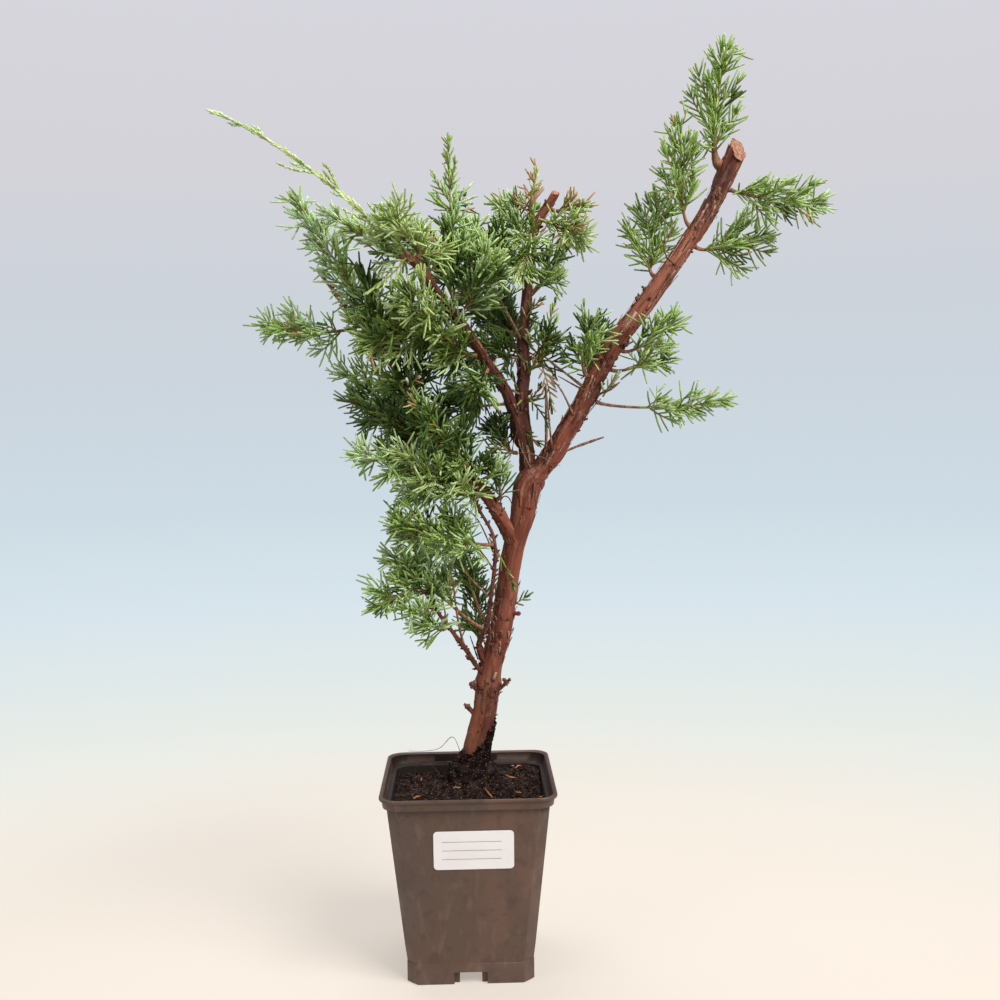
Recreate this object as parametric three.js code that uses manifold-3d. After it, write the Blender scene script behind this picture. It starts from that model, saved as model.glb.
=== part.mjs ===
// Juniper bonsai in a square nursery pot.
// Millimetres, +Z up. The origin is the middle of the pot's underside, and -Y is the front.
import * as THREE from "three";
import { mergeVertices } from "three/addons/utils/BufferGeometryUtils.js";
import Module from "manifold-3d";

const wasm = await Module();
wasm.setup();

// Driving dimensions

const clear = 0.3; // gap between pieces that touch

const pot = {
  rim: 90, // outer width of the lip
  rimCorner: 9,
  lip: 6, // height of the lip band
  lipFoot: 86.6, // width of the lip band where it meets the wall
  lipTop: 87.6,
  bead: 1.8, // height of the rounded top edge
  shoulder: 82.5, // width of the wall under the lip
  height: 100,
  base: 65.4,
  corner: 5.5, // 45 degree cut of each corner, at the base
  plinth: 11, // height of the upright band at the foot
  wall: 1.3,
  notch: { width: 17, height: 6.3, mouth: 2.5, inner: 11.5, depth: 16 }, // one in each foot edge
  drain: { diameter: 6, offset: 19 },
};

const soil = {
  edge: 90, // height of the surface at the wall
  mound: { rise: 8, reach: 14 },
  heap: { rise: 4, reach: 15, x: 30, y: 30 }, // fuller back right corner
  cells: 9,
};

const label = { width: 40.5, height: 20.4, corner: 2, thick: 0.3, x: 2.4, z: 72.4 };

const bark = { lump: 0.05 }; // share of the radius

const needle = {
  length: 10,
  radius: 0.4,
  lean: 40, // degrees from the twig
  gap: 5, // from one pair to the next along a twig
  tip: 0.4, // length of the one at a twig's end, as a share
};

const shoot = {
  radius: 0.9, // at its foot
  tipRadius: 0.45,
  lean: 40,
  leanSpread: 14,
  shortest: 6,
  turn: 137.5, // degrees round the stem from one shoot to the next
};

const stem = { radius: 1.1, tipRadius: 0.5, handle: 8 };

// Each limb is one tapering curve. flare widens the foot, knuckle the top where it forks.
const limbs = [
  {
    name: "trunk",
    path: [
      [2.6, 17.5, 93], [4.8, 15, 111.9], [8.3, 13, 125], [10.8, 11, 140.3], [13.2, 9, 157],
      [18.7, 7, 176], [21.6, 5, 194.8], [25.7, 3.8, 219], [30.8, 3, 237.5], [35.1, 3, 259.6],
    ],
    radius: [7, 5.4],
    flare: 1.2,
    knuckle: 1.9,
    sides: 11,
    rings: 14,
  },
  {
    name: "right_bough",
    path: [
      [35.6, 3, 255.9], [44.6, 2, 266.3], [54.7, 1, 282], [64.2, 0, 297.5], [71.5, -1, 312.5],
      [79.9, -2, 326.8], [91.2, -2, 341.3], [113.2, 1, 371.1], [126, 2, 389.3], [135.3, 2, 405.3],
      [146.6, 0, 430.4],
    ],
    radius: [5.4, 3.8],
    knuckle: 0.9,
    sides: 9,
    rings: 16,
  },
  {
    name: "centre_bough",
    path: [
      [34.6, 4, 254.8], [33.6, 4, 266.4], [31.1, 4, 293.8], [32.7, 5, 313.2], [32.4, 6, 327.9],
      [34.8, 7, 349.8], [38.9, 6, 384.9], [50.9, 3, 406.4],
    ],
    radius: [4.4, 2],
    sides: 8,
    rings: 14,
  },
  {
    name: "left_bough",
    path: [
      [30.6, 3, 277], [26.8, -4, 291.2], [21, -13, 305.6], [13.8, -22, 315.4],
      [1.1, -37, 334], [-12, -50, 350.7], [-23.6, -60, 365.2],
    ],
    radius: [3.1, 2],
    sides: 7,
    rings: 12,
  },
  {
    name: "low_left_bough",
    path: [
      [24.6, 2, 225.5], [18.8, -4, 237.7], [11.6, -8, 249.1], [0.9, -12, 262.3], [-13.1, -16, 280.1],
      [-24.4, -19, 292.4], [-30.5, -22, 309], [-47.8, -25, 333.5], [-69.6, -28, 361.9],
    ],
    radius: [4, 0.9],
    sides: 7,
    rings: 16,
  },
  {
    name: "inner_stem",
    path: [
      [9.4, 6, 157.7], [6.8, -1, 169.3], [10.6, -5, 179], [12.9, -6, 190.7], [15.9, -8, 223],
      [7.8, -10, 242], [1.3, -12, 255.7],
    ],
    radius: [1.4, 0.8],
    sides: 5,
    rings: 12,
  },
  {
    name: "low_stem",
    path: [
      [9.3, 8, 150.8], [4.6, 0, 159], [-1.6, -7, 170.1], [-12.6, -14, 186.7], [-20.6, -17, 200.3],
    ],
    radius: [1.4, 1],
    sides: 5,
    rings: 8,
  },
];

// Stubs and bare twigs, fused to their limb: at is the place along it, end is where they stop.
const offshoots = [
  { on: "trunk", at: 0.22, end: [0, 10, 134], radius: [1.9, 1.3] },
  { on: "trunk", at: 0.31, end: [3, 6, 146], radius: [1.6, 1.1] },
  { on: "trunk", at: 0.32, end: [21, 6, 147], radius: [1.7, 1] },
  { on: "trunk", at: 0.62, end: [28.5, 1, 185], radius: [1.8, 1.1] },
  { on: "right_bough", at: 0.1, end: [73, -6, 278], radius: [0.9, 0.5] },
  { on: "right_bough", at: 0.08, end: [43, -9, 304], radius: [1, 0.5] },
  { on: "right_bough", at: 0.33, end: [44, -8, 319], radius: [0.9, 0.4] },
  { on: "right_bough", at: 0.27, end: [81, -8, 306], radius: [1, 0.5] },
  { on: "centre_bough", at: 0.57, end: [16, -12, 358], radius: [1, 0.5] },
  { on: "low_stem", at: 0.47, end: [-6, -18, 207], radius: [0.8, 0.4] },
];

// Foliage masses by limb: name, place along the limb, tip of the stem. spread is the half width of
// the mass's space, lift turns the tip up, bare is the share of the stem with no leaf, and leaf the
// size of its needles as a share.
const foliage = {
  right_bough: [
    ["top_spray", 0.945, [136, -5, 480], { spread: 15, shoots: 11, bare: 0.2 }],
    ["upper_plume", 0.77, [112, -12, 440], { spread: 14, shoots: 9, lift: 4, bare: 0.2 }],
    ["upper_fan", 0.66, [107, 20, 407], { spread: 17, shoots: 9, lift: 2, bare: 0.14 }],
    ["shoulder_spray", 0.91, [189, -10, 396], { spread: 15, shoots: 9, lift: 4, bare: 0.1 }],
    ["right_wing", 0.74, [166, 16, 386], { spread: 17, shoots: 9, lift: 5, bare: 0.2 }],
    ["right_tuft", 0.49, [112, -14, 338], { spread: 9, shoots: 5, bare: 0.3 }],
    ["right_inner_tuft", 0.42, [112, 14, 322], { spread: 10, shoots: 6, lift: 2, bare: 0.45 }],
    ["low_right_spray", 0.31, [140, -10, 298], { spread: 10, shoots: 8, lift: 9, bare: 0.46 }],
    ["bough_left_tuft", 0.37, [65, -16, 341], { spread: 11, shoots: 7, bare: 0.15 }],
    ["bough_back_spray", 0.38, [79, 40, 341], { spread: 9, shoots: 5, bare: 0.2 }],
  ],
  centre_bough: [
    ["centre_right_spray", 0.49, [50, 0, 332], { spread: 12, shoots: 5, bare: 0.05 }],
    ["cut_tip_twig", 0.94, [67, -6, 397], { spread: 7, shoots: 3, bare: 0.2 }],
    ["centre_top_right", 0.9, [65, -14, 377], { spread: 9, shoots: 5, bare: 0.16 }],
    ["hanging_frond", 0.85, [30, -24, 358], { spread: 10, shoots: 5, lift: -4 }],
    ["centre_back_right", 0.74, [58, 28, 381], { spread: 9, shoots: 5, bare: 0.1 }],
    ["centre_left_spray", 0.76, [0, -16, 386], { spread: 15, shoots: 7 }],
    ["centre_top_left", 0.84, [24, 26, 408], { spread: 12, shoots: 6, bare: 0.1 }],
    ["top_spire", 0.89, [41, 12, 422], { spread: 5, shoots: 3, bare: 0.1, leaf: 0.7 }],
    ["centre_inner_left", 0.6, [2, 38, 363], { spread: 16, shoots: 7 }],
    ["centre_front_left", 0.5, [-11, -24, 317], { spread: 17, shoots: 8, lift: -4, bare: 0.15 }],
    ["crown_back", 0.54, [18, 62, 356], { spread: 17, shoots: 7, lift: 4, bare: 0.15 }],
    ["left_low_spray", 0.3, [-54, -6, 286], { spread: 12, shoots: 9, lift: -3, bare: 0.34 }],
    ["dark_shoot", 0.17, [13, 6, 288], { spread: 11, shoots: 6, bare: 0.15 }],
  ],
  left_bough: [
    ["left_spire", 0.75, [-5, -26, 430], { spread: 14, shoots: 12, lift: 4, bare: 0.1 }],
    ["left_top_fan", 0.88, [-24, -50, 383], { spread: 14, shoots: 7, lift: 3, bare: 0.1 }],
    ["left_tip_tuft", 0.97, [-35, -70, 386], { spread: 12, shoots: 5, lift: 3, bare: 0.1 }],
    ["long_whip", 1, [-114, -74, 430], { spread: 7, shoots: 12, lift: -17, bare: 0.05, leaf: 0.5 }],
    ["short_whip", 0.99, [-66, -54, 388], { spread: 10, shoots: 7, lift: -2, bare: 0.06, leaf: 0.8 }],
    ["drooping_spray", 0.67, [-48, -52, 323], { spread: 14, shoots: 8, lift: -8, bare: 0.1 }],
    ["left_hanging", 0.5, [4, -44, 297], { spread: 16, shoots: 7, lift: -5 }],
    ["front_crown", 0.71, [14, -56, 370], { spread: 15, shoots: 7, lift: 3 }],
    ["front_left_crown", 0.57, [-29, -68, 350], { spread: 17, shoots: 7, lift: 2, bare: 0.15 }],
  ],
  low_left_bough: [
    ["light_right_frond", 0.21, [13, -22, 270], { spread: 7, shoots: 5, lift: 3, bare: 0.15 }],
    ["upright_left", 0.81, [-80, -42, 397], { spread: 13, shoots: 10, lift: -2, bare: 0.06 }],
    ["far_left_spray", 0.89, [-99, -32, 336], { spread: 12, shoots: 8, lift: 5, bare: 0.3 }],
    ["left_side_spray", 0.55, [-64, 4, 315], { spread: 13, shoots: 7, bare: 0.1 }],
    ["left_under_spray", 0.5, [-56, -40, 300], { spread: 11, shoots: 6, lift: -2, bare: 0.1 }],
    ["left_bottom_spray", 0.36, [-54, -50, 273], { spread: 13, shoots: 8, bare: 0.1 }],
    ["light_spray", 0.27, [-34, -46, 276], { spread: 14, shoots: 8, lift: 6, bare: 0.1 }],
    ["light_inner_spray", 0.32, [-22, -48, 299], { spread: 15, shoots: 7, lift: 2, bare: 0.15 }],
    ["left_back_spray", 0.43, [-38, 30, 298], { spread: 16, shoots: 7, lift: 2 }],
    ["upper_inner_left", 0.65, [-47, -46, 362], { spread: 16, shoots: 9, lift: 2 }],
  ],
  inner_stem: [
    ["inner_stem_tuft", 1, [-33, -12, 247], { spread: 14, shoots: 9, lift: -3, bare: 0.06 }],
    ["mid_spray", 0.67, [-37, -38, 239], { spread: 16, shoots: 8, lift: 2, bare: 0.2 }],
    ["mid_under_spray", 0.33, [-40, -22, 222], { spread: 13, shoots: 7, lift: -2, bare: 0.42 }],
    ["mid_back_spray", 0.41, [-7, 24, 237], { spread: 9, shoots: 5, lift: 2, bare: 0.4 }],
  ],
  low_stem: [
    ["low_spray", 1, [-47, -26, 194], { spread: 13, shoots: 8, bare: 0.05 }],
    ["low_under_spray", 0.68, [-32, -36, 196], { spread: 9, shoots: 6 }],
    ["low_upright_twig", 0.85, [-32, 12, 234], { spread: 12, shoots: 7, lift: 3, bare: 0.2 }],
  ],
  trunk: [
    ["low_back_tuft", 0.47, [3, 30, 206], { spread: 11, shoots: 5, lift: 4, bare: 0.25 }],
  ],
};

const masses = Object.entries(foliage).flatMap(([on, rows]) =>
  rows.map(([name, at, tip, more]) => ({ name, on, at, tip, lift: 0, bare: 0.12, leaf: 1, ...more })),
);

// Colour groups: young yellow-green, and blue-green in the shade. The rest are mid green.
const fresh = ["long_whip", "short_whip", "light_spray", "left_top_fan", "left_tip_tuft", "centre_top_right",
  "hanging_frond", "drooping_spray", "front_left_crown"];
const shaded = ["dark_shoot", "left_back_spray", "crown_back", "centre_inner_left",
  "low_back_tuft", "mid_back_spray", "left_low_spray", "left_under_spray", "bough_back_spray"];

// Growth

const up = new THREE.Vector3(0, 0, 1);
const vector = (p) => new THREE.Vector3(...p);
const radians = THREE.MathUtils.degToRad;
const mix = THREE.MathUtils.lerp;

// The same number between 0 and 1 for the same seed and step, every time.
function chance(seed, step) {
  const wave = Math.sin(seed * 127.1 + step * 311.7) * 43758.5453;
  return wave - Math.floor(wave);
}

function limbCurve(limb) {
  return new THREE.CatmullRomCurve3(limb.path.map(vector), false, "catmullrom", 0.5);
}

function limbRadius(limb, t) {
  const taper = mix(limb.radius[0], limb.radius[1], t);
  const flare = (limb.flare ?? 0) * Math.exp(-t * 24);
  const top = THREE.MathUtils.clamp((t - 0.78) / 0.22, 0, 1);
  return taper + flare + (limb.knuckle ?? 0) * top * top * (3 - 2 * top);
}

// A twig is one cubic curve that leaves start along one direction and reaches end along another.
function twigCurve(start, startWay, end, endWay, handle) {
  const reach = start.distanceTo(end);
  return new THREE.CubicBezierCurve3(
    start,
    start.clone().addScaledVector(startWay, Math.min(reach * 0.33, handle)),
    end.clone().addScaledVector(endWay, -reach * 0.33),
    end,
  );
}

// The frames at a twig's rings: along it, and u and v across it, carried along without a twist.
function framesOf(curve, rings, first) {
  const frames = [];
  for (let i = 0; i <= rings; i++) {
    const along = curve.getTangent(i / rings);
    const u = (i ? frames[i - 1].u : first).clone();
    u.addScaledVector(along, -u.dot(along)).normalize();
    frames.push({ at: curve.getPoint(i / rings), along, u, v: new THREE.Vector3().crossVectors(along, u) });
  }
  return frames;
}

// A direction across a twig, turned round it from the level one.
function across(along, turn) {
  const level = new THREE.Vector3().crossVectors(along, up);
  if (level.length() < 0.05) level.set(1, 0, 0);
  level.normalize();
  const other = new THREE.Vector3().crossVectors(level, along);
  return level.multiplyScalar(Math.cos(turn)).addScaledVector(other, Math.sin(turn));
}

// Half width of a mass's space along its stem: full near the foot, narrow at the tip.
function spaceAt(mass, t) {
  if (t < 0.3) return mass.spread * mix(0.85, 1, t / 0.3);
  return mass.spread * Math.max(0, 1 - ((t - 0.3) / 0.74) ** 2) ** 0.75;
}

// A twig has four sides and a ring of corners every few millimetres. Each side between two rings
// is a face, from which one needle or shoot may grow.
function makeTwig(curve, first, footRadius, tipRadius) {
  const length = curve.getPoint(0).distanceTo(curve.getPoint(1));
  const rings = Math.max(2, Math.round(length / needle.gap));
  const frames = framesOf(curve, rings, first);
  return { curve, length, rings, frames, footRadius, tipRadius, grown: new Map() };
}

// Where something grows from a face: its middle, and the direction that leans away from the twig.
function faceRoot(twig, ring, side, lean) {
  const frame = twig.frames[ring];
  const angle = ((side + 0.5) * Math.PI) / 2;
  const out = frame.u.clone().multiplyScalar(Math.cos(angle)).addScaledVector(frame.v, Math.sin(angle));
  const radius = mix(twig.footRadius, twig.tipRadius, (ring + 0.5) / twig.rings);
  const start = twig.curve.getPoint((ring + 0.5) / twig.rings).addScaledVector(out, radius * Math.SQRT1_2);
  const way = frame.along.clone().multiplyScalar(Math.cos(lean)).addScaledVector(out, Math.sin(lean));
  return { start, way };
}

// The four corners of a twig's ring, and those of one of its faces.
function ringCorners(twig, ring) {
  const { at, u, v } = twig.frames[ring];
  const radius = mix(twig.footRadius, twig.tipRadius, ring / twig.rings);
  return [u, v, u.clone().negate(), v.clone().negate()].map((way) => at.clone().addScaledVector(way, radius));
}

function quadCorners(twig, ring, side) {
  const low = ringCorners(twig, ring);
  const high = ringCorners(twig, ring + 1);
  return [low[side], low[(side + 1) % 4], high[(side + 1) % 4], high[side]];
}

function stemOf(mass, seed) {
  const limb = limbs.find((l) => l.name === mass.on);
  const curve = limbCurve(limb);
  const tip = vector(mass.tip);
  const heart = curve.getPoint(mass.at);
  const along = curve.getTangent(mass.at);
  let way = tip.clone().sub(heart);
  way = mass.at === 1 ? along : way.addScaledVector(along, -way.dot(along)).normalize();
  const inside = mass.at === 1 ? 0 : limbRadius(limb, mass.at) * (1 + bark.lump);
  const start = heart.clone().addScaledVector(way, clear + inside);
  const endWay = tip.clone().sub(start).addScaledVector(up, 2 * mass.lift).normalize();
  tip.addScaledVector(endWay, -needle.length * needle.tip);
  const route = twigCurve(start, way, tip, endWay, stem.handle);
  return makeTwig(route, across(way, 2 * Math.PI * chance(seed, 99)), stem.radius, stem.tipRadius);
}

// The side shoots of a mass, each a slightly bent twig that leaves a face of the stem and turns up.
function shootsOf(mass, seed) {
  const trunk = mass.stem;
  const found = [];
  for (let k = 0; k < mass.shoots; k++) {
    const ring = Math.floor(trunk.rings * mix(mass.bare, 0.92, (k + 0.6 * chance(seed, k)) / mass.shoots));
    const side = Math.floor((k * shoot.turn) / 90) % 4;
    const lean = radians(shoot.lean + shoot.leanSpread * (chance(seed, k + 40) - 0.5));
    const { start, way } = faceRoot(trunk, ring, side, lean);
    const t = (ring + 0.5) / trunk.rings;
    const room = (spaceAt(mass, t) - needle.length * 0.35) / Math.sin(lean);
    const rest = ((1 - t) * trunk.length) / Math.cos(lean) + needle.length * 0.2;
    const length = Math.min(room * (0.85 + 0.3 * chance(seed, k + 80)), rest);
    if (length < shoot.shortest) continue;
    const end = start.clone().addScaledVector(way, length).addScaledVector(up, 0.1 * length);
    const endWay = way.clone().addScaledVector(trunk.frames[ring].along, 0.4).addScaledVector(up, 0.3);
    found.push({ ring, side, curve: twigCurve(start, way, end, endWay.normalize(), length) });
  }
  return found;
}

// Clearance: every limb, twig and needle is a row of tapered rods.
const rods = [];

function rodsAlong(curve, radiusAt, pieces, owner, twig) {
  return Array.from({ length: pieces }, (_, i) => ({
    a: curve.getPoint(i / pieces),
    b: curve.getPoint((i + 1) / pieces),
    radius: Math.max(radiusAt(i / pieces), radiusAt((i + 1) / pieces)),
    owner,
    twig,
  }));
}

// Shortest distance between two segments, tried at fixed places on the first one.
const probe = new THREE.Line3();
const near = new THREE.Vector3();
const place = new THREE.Vector3();

function distance(rod, other) {
  probe.set(other.a, other.b);
  let least = Infinity;
  for (let i = 0; i <= 6; i++) {
    place.lerpVectors(rod.a, rod.b, i / 6);
    probe.closestPointToPoint(place, true, near);
    least = Math.min(least, near.distanceTo(place));
  }
  return least;
}

// A rod keeps clear of every other rod, but not of the twig that it grows from.
function isClear(rod) {
  return rods.every((other) => {
    const same = other.owner === rod.owner;
    if (same && (other.twig === rod.twig || other.twig === rod.from)) return true;
    const most = rod.radius + other.radius + (same ? 0.1 : clear + 0.1);
    const far = rod.a.distanceTo(rod.b) + other.a.distanceTo(other.b) + most;
    if (rod.a.distanceTo(other.a) > far) return true;
    return distance(rod, other) >= most && distance(other, rod) >= most;
  });
}

for (const limb of limbs) {
  const width = (t) => limbRadius(limb, t) * (1 + bark.lump);
  rods.push(...rodsAlong(limbCurve(limb), width, limb.rings, limb.name, limb.name));
}
for (const twig of offshoots) {
  const limb = limbs.find((l) => l.name === twig.on);
  twig.start = limbCurve(limb).getPoint(twig.at);
  rods.push({ a: twig.start, b: vector(twig.end), radius: twig.radius[0], owner: twig.on, twig: twig.on });
}
masses.forEach((mass, seed) => {
  mass.stem = stemOf(mass, seed + 1);
  rods.push(...rodsAlong(mass.stem.curve, () => stem.radius, 5, mass.name, "stem"));
});

// Shoots that would touch a limb or another mass are skipped.
masses.forEach((mass, seed) => {
  mass.twigs = [mass.stem];
  shootsOf(mass, seed + 1).forEach(({ ring, side, curve }, k) => {
    if (mass.stem.grown.has(ring * 4 + side)) return;
    const found = rodsAlong(curve, () => shoot.radius, 2, mass.name, k + 1);
    found[0].from = "stem";
    if (!found.every(isClear)) return;
    rods.push(...found);
    const quad = quadCorners(mass.stem, ring, side);
    const wide = quad[1].clone().sub(quad[0]).normalize();
    const long = quad[3].clone().sub(quad[0]).normalize();
    const twig = makeTwig(curve, wide.add(long).negate(), shoot.radius, shoot.tipRadius);
    twig.id = k + 1;
    mass.stem.grown.set(ring * 4 + side, twig);
    mass.twigs.push(twig);
  });
});

// Needles stand in opposite pairs, each pair a quarter turn from the last.
masses.forEach((mass, seed) => {
  mass.twigs.forEach((twig, k) => {
    const isStem = twig === mass.stem;
    const firstRing = isStem ? Math.ceil(twig.rings * Math.max(mass.bare, 0.1)) : 1;
    for (let ring = firstRing; ring < twig.rings; ring++) {
      const t = ring / twig.rings;
      const size = needle.length * mass.leaf * mix(1, 0.7, t) * (0.88 + 0.24 * chance(seed + k * 7, ring));
      for (const side of [ring % 2, (ring % 2) + 2]) {
        if (twig.grown.has(ring * 4 + side)) continue;
        const { start, way } = faceRoot(twig, ring, side, radians(needle.lean));
        const end = start.clone().addScaledVector(way, size);
        const id = isStem ? "stem" : twig.id;
        const rod = { a: start, b: end, radius: needle.radius, owner: mass.name, twig: id, from: id };
        if (!isClear(rod)) continue;
        rods.push(rod);
        twig.grown.set(ring * 4 + side, end);
      }
    }
  });
});

// Solids

function solidFrom(geometry) {
  const bare = geometry.clone();
  bare.deleteAttribute("normal");
  bare.deleteAttribute("uv");
  const merged = mergeVertices(bare, 1e-4);
  return new wasm.Manifold(
    new wasm.Mesh({
      numProp: 3,
      vertProperties: new Float32Array(merged.attributes.position.array),
      triVerts: new Uint32Array(merged.index.array),
    }),
  );
}

function geometryFrom(solid) {
  const found = solid.getMesh();
  const geometry = new THREE.BufferGeometry();
  geometry.setAttribute("position", new THREE.BufferAttribute(found.vertProperties, 3));
  geometry.setIndex(new THREE.BufferAttribute(found.triVerts, 1));
  geometry.computeVertexNormals();
  return geometry;
}

// A cylinder bent along a curve, its radius given along and round it, grown on every side by swell.
function bentRod(curve, radiusAt, sides, rings, swell = 0) {
  const geometry = new THREE.CylinderGeometry(1, 1, 1, sides, rings);
  const frames = curve.computeFrenetFrames(rings);
  const place = geometry.attributes.position;
  for (let i = 0; i < place.count; i++) {
    const t = place.getY(i) + 0.5;
    const ring = Math.round(t * rings);
    const angle = Math.atan2(place.getX(i), place.getZ(i));
    const wide = radiusAt(t, angle) + swell;
    const past = t < 0.001 ? -swell : t > 0.999 ? swell : 0;
    const at = curve.getPoint(t).addScaledVector(curve.getTangent(t), past);
    at.addScaledVector(frames.binormals[ring], place.getX(i) * wide);
    at.addScaledVector(frames.normals[ring], place.getZ(i) * wide);
    place.setXYZ(i, at.x, at.y, at.z);
  }
  return solidFrom(geometry);
}

// A straight spike from one point to another, closed to a point or a small flat end.
function spike(start, end, radius, endRadius, sides) {
  const length = start.distanceTo(end);
  const geometry = new THREE.CylinderGeometry(endRadius, radius, length, sides, 1);
  geometry.translate(0, length / 2, 0);
  const way = end.clone().sub(start).normalize();
  geometry.applyQuaternion(new THREE.Quaternion().setFromUnitVectors(new THREE.Vector3(0, 1, 0), way));
  geometry.translate(start.x, start.y, start.z);
  return solidFrom(geometry);
}

// The largest piece of a solid that a cut may have split.
function largest(solid) {
  return solid.decompose().sort((a, b) => b.volume() - a.volume())[0];
}

function limbSolid(limb, swell = 0) {
  const lump = (t, angle) => 1 + bark.lump * Math.sin(3 * angle + 9 * t) * Math.cos(2 * angle - 14 * t);
  const radiusAt = (t, angle) => limbRadius(limb, t) * lump(t, angle);
  const body = bentRod(limbCurve(limb), radiusAt, limb.sides, limb.rings, swell);
  const twigs = offshoots
    .filter((twig) => twig.on === limb.name)
    .map((twig) => spike(twig.start, vector(twig.end), twig.radius[0] + swell, twig.radius[1] + swell, 5));
  return wasm.Manifold.union([body, ...twigs]);
}

// One closed surface for a mass. A needle is a face drawn out to a point, and a shoot is a tube
// that starts as the face it grows from.
function massSolid(mass) {
  const points = [];
  const faces = [];
  const add = (corners) => corners.map((at) => points.push(at) - 1);

  function skin(twig, foot) {
    let low = foot;
    for (let ring = 0; ring < twig.rings; ring++) {
      const high = add(ringCorners(twig, ring + 1));
      for (let side = 0; side < 4; side++) {
        const next = (side + 1) % 4;
        const quad = [low[side], low[next], high[next], high[side]];
        const grown = twig.grown.get(ring * 4 + side);
        if (!grown) faces.push([quad[0], quad[1], quad[2]], [quad[0], quad[2], quad[3]]);
        else if (grown.isVector3) close(quad, grown);
        else skin(grown, quad);
      }
      low = high;
    }
    const end = twig.curve.getPoint(1).addScaledVector(twig.curve.getTangent(1), needle.length * needle.tip);
    close(low, end);
  }

  function close(loop, point) {
    const [top] = add([point]);
    loop.forEach((corner, i) => faces.push([corner, loop[(i + 1) % 4], top]));
  }

  const foot = add(ringCorners(mass.stem, 0));
  faces.push([foot[2], foot[1], foot[0]], [foot[3], foot[2], foot[0]]);
  skin(mass.stem, foot);
  const geometry = new THREE.BufferGeometry().setFromPoints(points);
  geometry.setIndex(faces.flat());
  return solidFrom(geometry);
}

// Pot

// A square with its corners cut or rounded, drawn anticlockwise.
function squareOutline(width, corner, round) {
  const half = width / 2;
  const inner = half - corner;
  const outline = new THREE.Shape();
  const turns = round ? 4 : 1;
  for (let quarter = 0; quarter < 4; quarter++) {
    for (let i = 0; i <= turns; i++) {
      const angle = ((quarter + i / turns) * Math.PI) / 2;
      const centre = [[1, 1], [-1, 1], [-1, -1], [1, -1]][quarter];
      const x = centre[0] * inner + corner * Math.cos(angle);
      const y = centre[1] * inner + corner * Math.sin(angle);
      if (quarter === 0 && i === 0) outline.moveTo(x, y);
      else outline.lineTo(x, y);
    }
  }
  outline.closePath();
  return outline;
}

// A block that tapers from its lower outline to topWidth.
function taperedBlock(bottom, top, low, high, corner, round) {
  const outline = squareOutline(bottom, corner, round);
  const geometry = new THREE.ExtrudeGeometry(outline, { depth: high - low, steps: 1, bevelEnabled: false });
  const place = geometry.attributes.position;
  for (let i = 0; i < place.count; i++) {
    const scale = place.getZ(i) > (high - low) / 2 ? top / bottom : 1;
    place.setXY(i, place.getX(i) * scale, place.getY(i) * scale);
  }
  geometry.translate(0, 0, low);
  return solidFrom(geometry);
}

function box(width, depth, height, x, y, z) {
  const geometry = new THREE.BoxGeometry(width, depth, height);
  geometry.translate(x, y, z);
  return solidFrom(geometry);
}

const lipFoot = pot.height - pot.lip;
const wallTaper = (pot.shoulder - pot.base) / (lipFoot - pot.plinth);

// Width of the wall at a height, outside.
function wallWidth(z) {
  return pot.base + wallTaper * Math.max(0, z - pot.plinth);
}

// The four channels under the foot edges, grown by a margin: a wide mouth and a narrower run.
function channels(margin) {
  const { width, height, mouth, inner, depth } = pot.notch;
  const high = height + margin + 1;
  const block = (wide, reach) => {
    const long = reach + margin + 1;
    return box(long, wide + 2 * margin, high, pot.base / 2 + 1 - long / 2, 0, high / 2 - 1);
  };
  const blocks = [0, 90, 180, 270].flatMap((turn) => [
    block(width, mouth).rotate([0, 0, turn]),
    block(inner, depth).rotate([0, 0, turn]),
  ]);
  return wasm.Manifold.union(blocks);
}

// The space inside the wall, made smaller by a gap.
function inside(gap) {
  const wall = 2 * (pot.wall + gap);
  const floor = pot.wall + gap;
  const foot = pot.base - wall;
  const low = taperedBlock(foot, foot, floor, pot.plinth, pot.corner - 0.4, false);
  const high = taperedBlock(foot, pot.shoulder - wall, pot.plinth, lipFoot, pot.corner - 0.4, false);
  return wasm.Manifold.union([low, high]).subtract(channels(pot.wall + gap));
}

function potSolid() {
  const wall = 2 * pot.wall;
  const plinth = taperedBlock(pot.base, pot.base, 0, pot.plinth, pot.corner, false);
  const body = taperedBlock(pot.base, pot.shoulder, pot.plinth, lipFoot, pot.corner, false);
  const beadFoot = pot.height - pot.bead;
  const lip = taperedBlock(pot.lipFoot, pot.lipTop, lipFoot, beadFoot + 0.2, pot.rimCorner, true);
  const bead = taperedBlock(pot.rim, pot.rim, beadFoot, pot.height, pot.rimCorner, true);
  const under = lipFoot - pot.wall;
  const ledge = taperedBlock(pot.lipFoot, pot.lipFoot, under, lipFoot + 0.2, pot.rimCorner, true);
  const [low, high] = [pot.lipFoot - 0.4 - wall, pot.lipTop - wall];
  const mouth = taperedBlock(low, high, lipFoot, pot.height + 1, pot.rimCorner - 1, true);
  const { diameter, offset } = pot.drain;
  const drains = [0, 1, 2, 3].map((i) => {
    const geometry = new THREE.CylinderGeometry(diameter / 2, diameter / 2, 2 * pot.wall + 2, 10);
    geometry.rotateX(Math.PI / 2);
    geometry.translate(i % 2 ? offset : -offset, i > 1 ? offset : -offset, 0);
    return solidFrom(geometry);
  });
  return wasm.Manifold.union([plinth, body, ledge, lip, bead])
    .subtract(wasm.Manifold.union([inside(0), mouth]))
    .subtract(channels(0))
    .subtract(wasm.Manifold.union(drains));
}

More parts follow.
